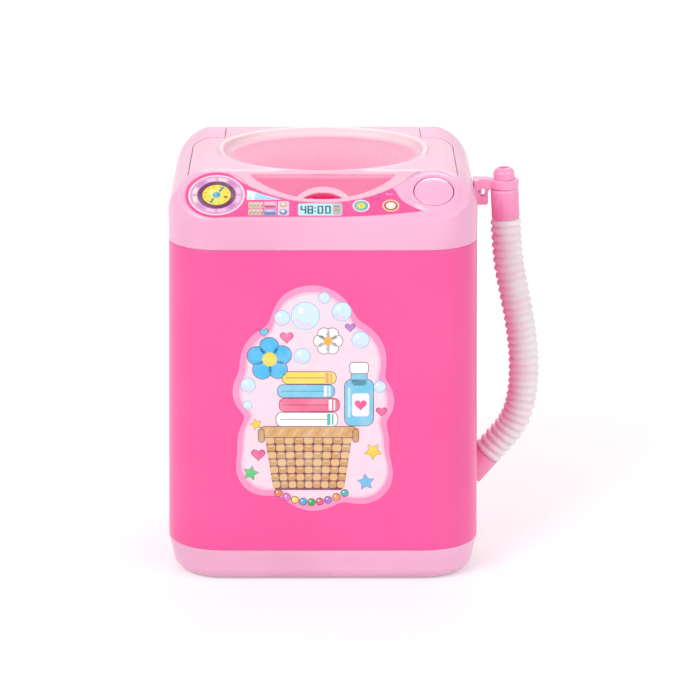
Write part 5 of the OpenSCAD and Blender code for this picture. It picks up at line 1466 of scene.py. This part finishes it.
def lid_form(x, y, z):
    s, n = on_face(y, z)
    skin = cover_skin(x, y, z)
    space = lid_space(x, y, z, 0, 0, ALL_DEEP, ALL_DEEP)
    form = without(both(skin, space, 0.2), skin + LID_T, 0.3)
    form = meet(form, -meet(-y, z - hinge_z))
    bowl = meet(both(dish(x, y, 1.4), dish_z - BOWL_T - z, 1.4), skin)
    under_scoop = meet(scoop(x, s, -SCOOP_T), -SCOOP_DROP - SCOOP_T - n, smile(x, s, 0), skin)
    form = either(join(form, under_scoop), bowl, 0.3)
    rise = ramp(y - dish_y + 15, 22)
    rise = RIM_H * rise * rise * (3 - 2 * rise)
    rim = meet(both(dish(x, y, RIM_W), z - top_z - rise, 1.0), dish_z - z)
    form = either(form, both(rim, brow_y - 0.4 - y, 0.8), 0.5)
    reach = np.hypot(y - hinge_y, z - hinge_z)
    barrel = both(reach - REAR_R, np.abs(x) - BARREL_HALF, 0.4)
    form = join(form, barrel, meet(reach - PIN_R, np.abs(x) - BARREL_HALF - PIN_L))
    form = without(form, both(dish(x, y, 0), dish_z - z, 2.2), 0.75)
    hollow = both(both(scoop(x, s, 0), -SCOOP_DROP - n, 0.9), -arch(x, s, *ARCH), 0.5)
    form = without(form, hollow, 0.35)
    notch = meet(arch(x, s, *NOTCH), smile(x, s, -SCOOP_RIM), -NOTCH_DEEP - n)
    form = without(form, notch, 0.2)
    return without(form, rounds(x, y, z, LID_GAP), 0.3)


# The lid's own colour is LID_PINK. The four colours after it are painted shade and one painted highlight,
# laid over it by the marks below.
LID_PINK = ink(252, 194, 216)
DISH_SHADE_PINK = ink(246, 92, 156)
SCOOP_SHADE_PINK = ink(247, 134, 174)
NOTCH_SHADE_PINK = ink(236, 0, 112)
RIM_HIGHLIGHT_WHITE = ink(255, 232, 236)
lid = moulded("moulded_lid", lid_form, lid_low, lid_high, 0.5, 0.35)
x, y, z = points_of(lid).T
s, n = on_face(y, z)
from_dish = dish(x, y, 0)
above = z > dish_z - 0.8
# Painted shade: the dish's floor is painted a deeper pink, deepest in its middle and towards the front.
marked(lid, "dish_floor_shade", above * ramp(-from_dish - 1.2, 1.5) * ramp(top_z - 0.4 - z, 0.6)
       * (1 - 0.4 * (x / DISH_A) ** 2) * (0.5 + 0.5 * ramp(dish_y + DISH_B - y, 2 * DISH_B)))
# Painted highlight: the inner face of the rim's far side is painted near white.
marked(lid, "far_rim_highlight", above * ramp(from_dish + 1.6, 1.5) * ramp(RIM_W + 0.5 - from_dish, 1.2)
       * ramp(y - dish_y + 8, 22))
# Painted shade: the floor of the finger scoop is painted a deeper pink.
marked(lid, "scoop_floor_shade", ramp(-scoop(x, s, 0), 0.5) * ramp(-0.7 - n, 0.7) * (n > -SCOOP_DROP - 0.5))
# Painted shade: the notch under the small arch is painted a deep magenta.
marked(lid, "notch", ramp(0.18 - arch(x, s, *NOTCH), 0.3) * ramp(-0.1 - n, 0.3) * (n > -NOTCH_DEEP - 0.3))
# Painted light on the lid: painted highlight on the far rim, painted shade on the dish floor, the scoop and
# the notch.
lid_painted_light = [("far_rim_highlight", RIM_HIGHLIGHT_WHITE), ("dish_floor_shade", DISH_SHADE_PINK), ("scoop_floor_shade", SCOOP_SHADE_PINK),
              ("notch", NOTCH_SHADE_PINK)]
lid.data.materials.append(moulded_plastic("lid_pink_plastic", LID_PINK, 0.02, 0.25, 0.1, lid_painted_light, 0.3))
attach(lid, "lid")
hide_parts("lid")

# ---- Spin basket, agitator and gears ------------------------------------------------------
# White perforated basket with a rose pink agitator and nut on one steel shaft. Below the tub the
# shaft carries an acetal gear, which the small acetal pinion on the motor's shaft drives.
coat(moulded_plastic("basket_white_plastic", ink(240, 240, 246), 0.02, 0.26, 0.2), "spin_basket")
coat(moulded_plastic("agitator_pink_plastic", ink(250, 132, 184), 0.03, 0.26, 0.25),
     "agitator", "agitator_nut")
coat(metal("ground_shaft_steel", ink(210, 212, 216), 0.16, 1200, (1, 1, 4)), "drum_shaft", "motor_shaft")
coat(acetal, "drum_gear", "motor_pinion")
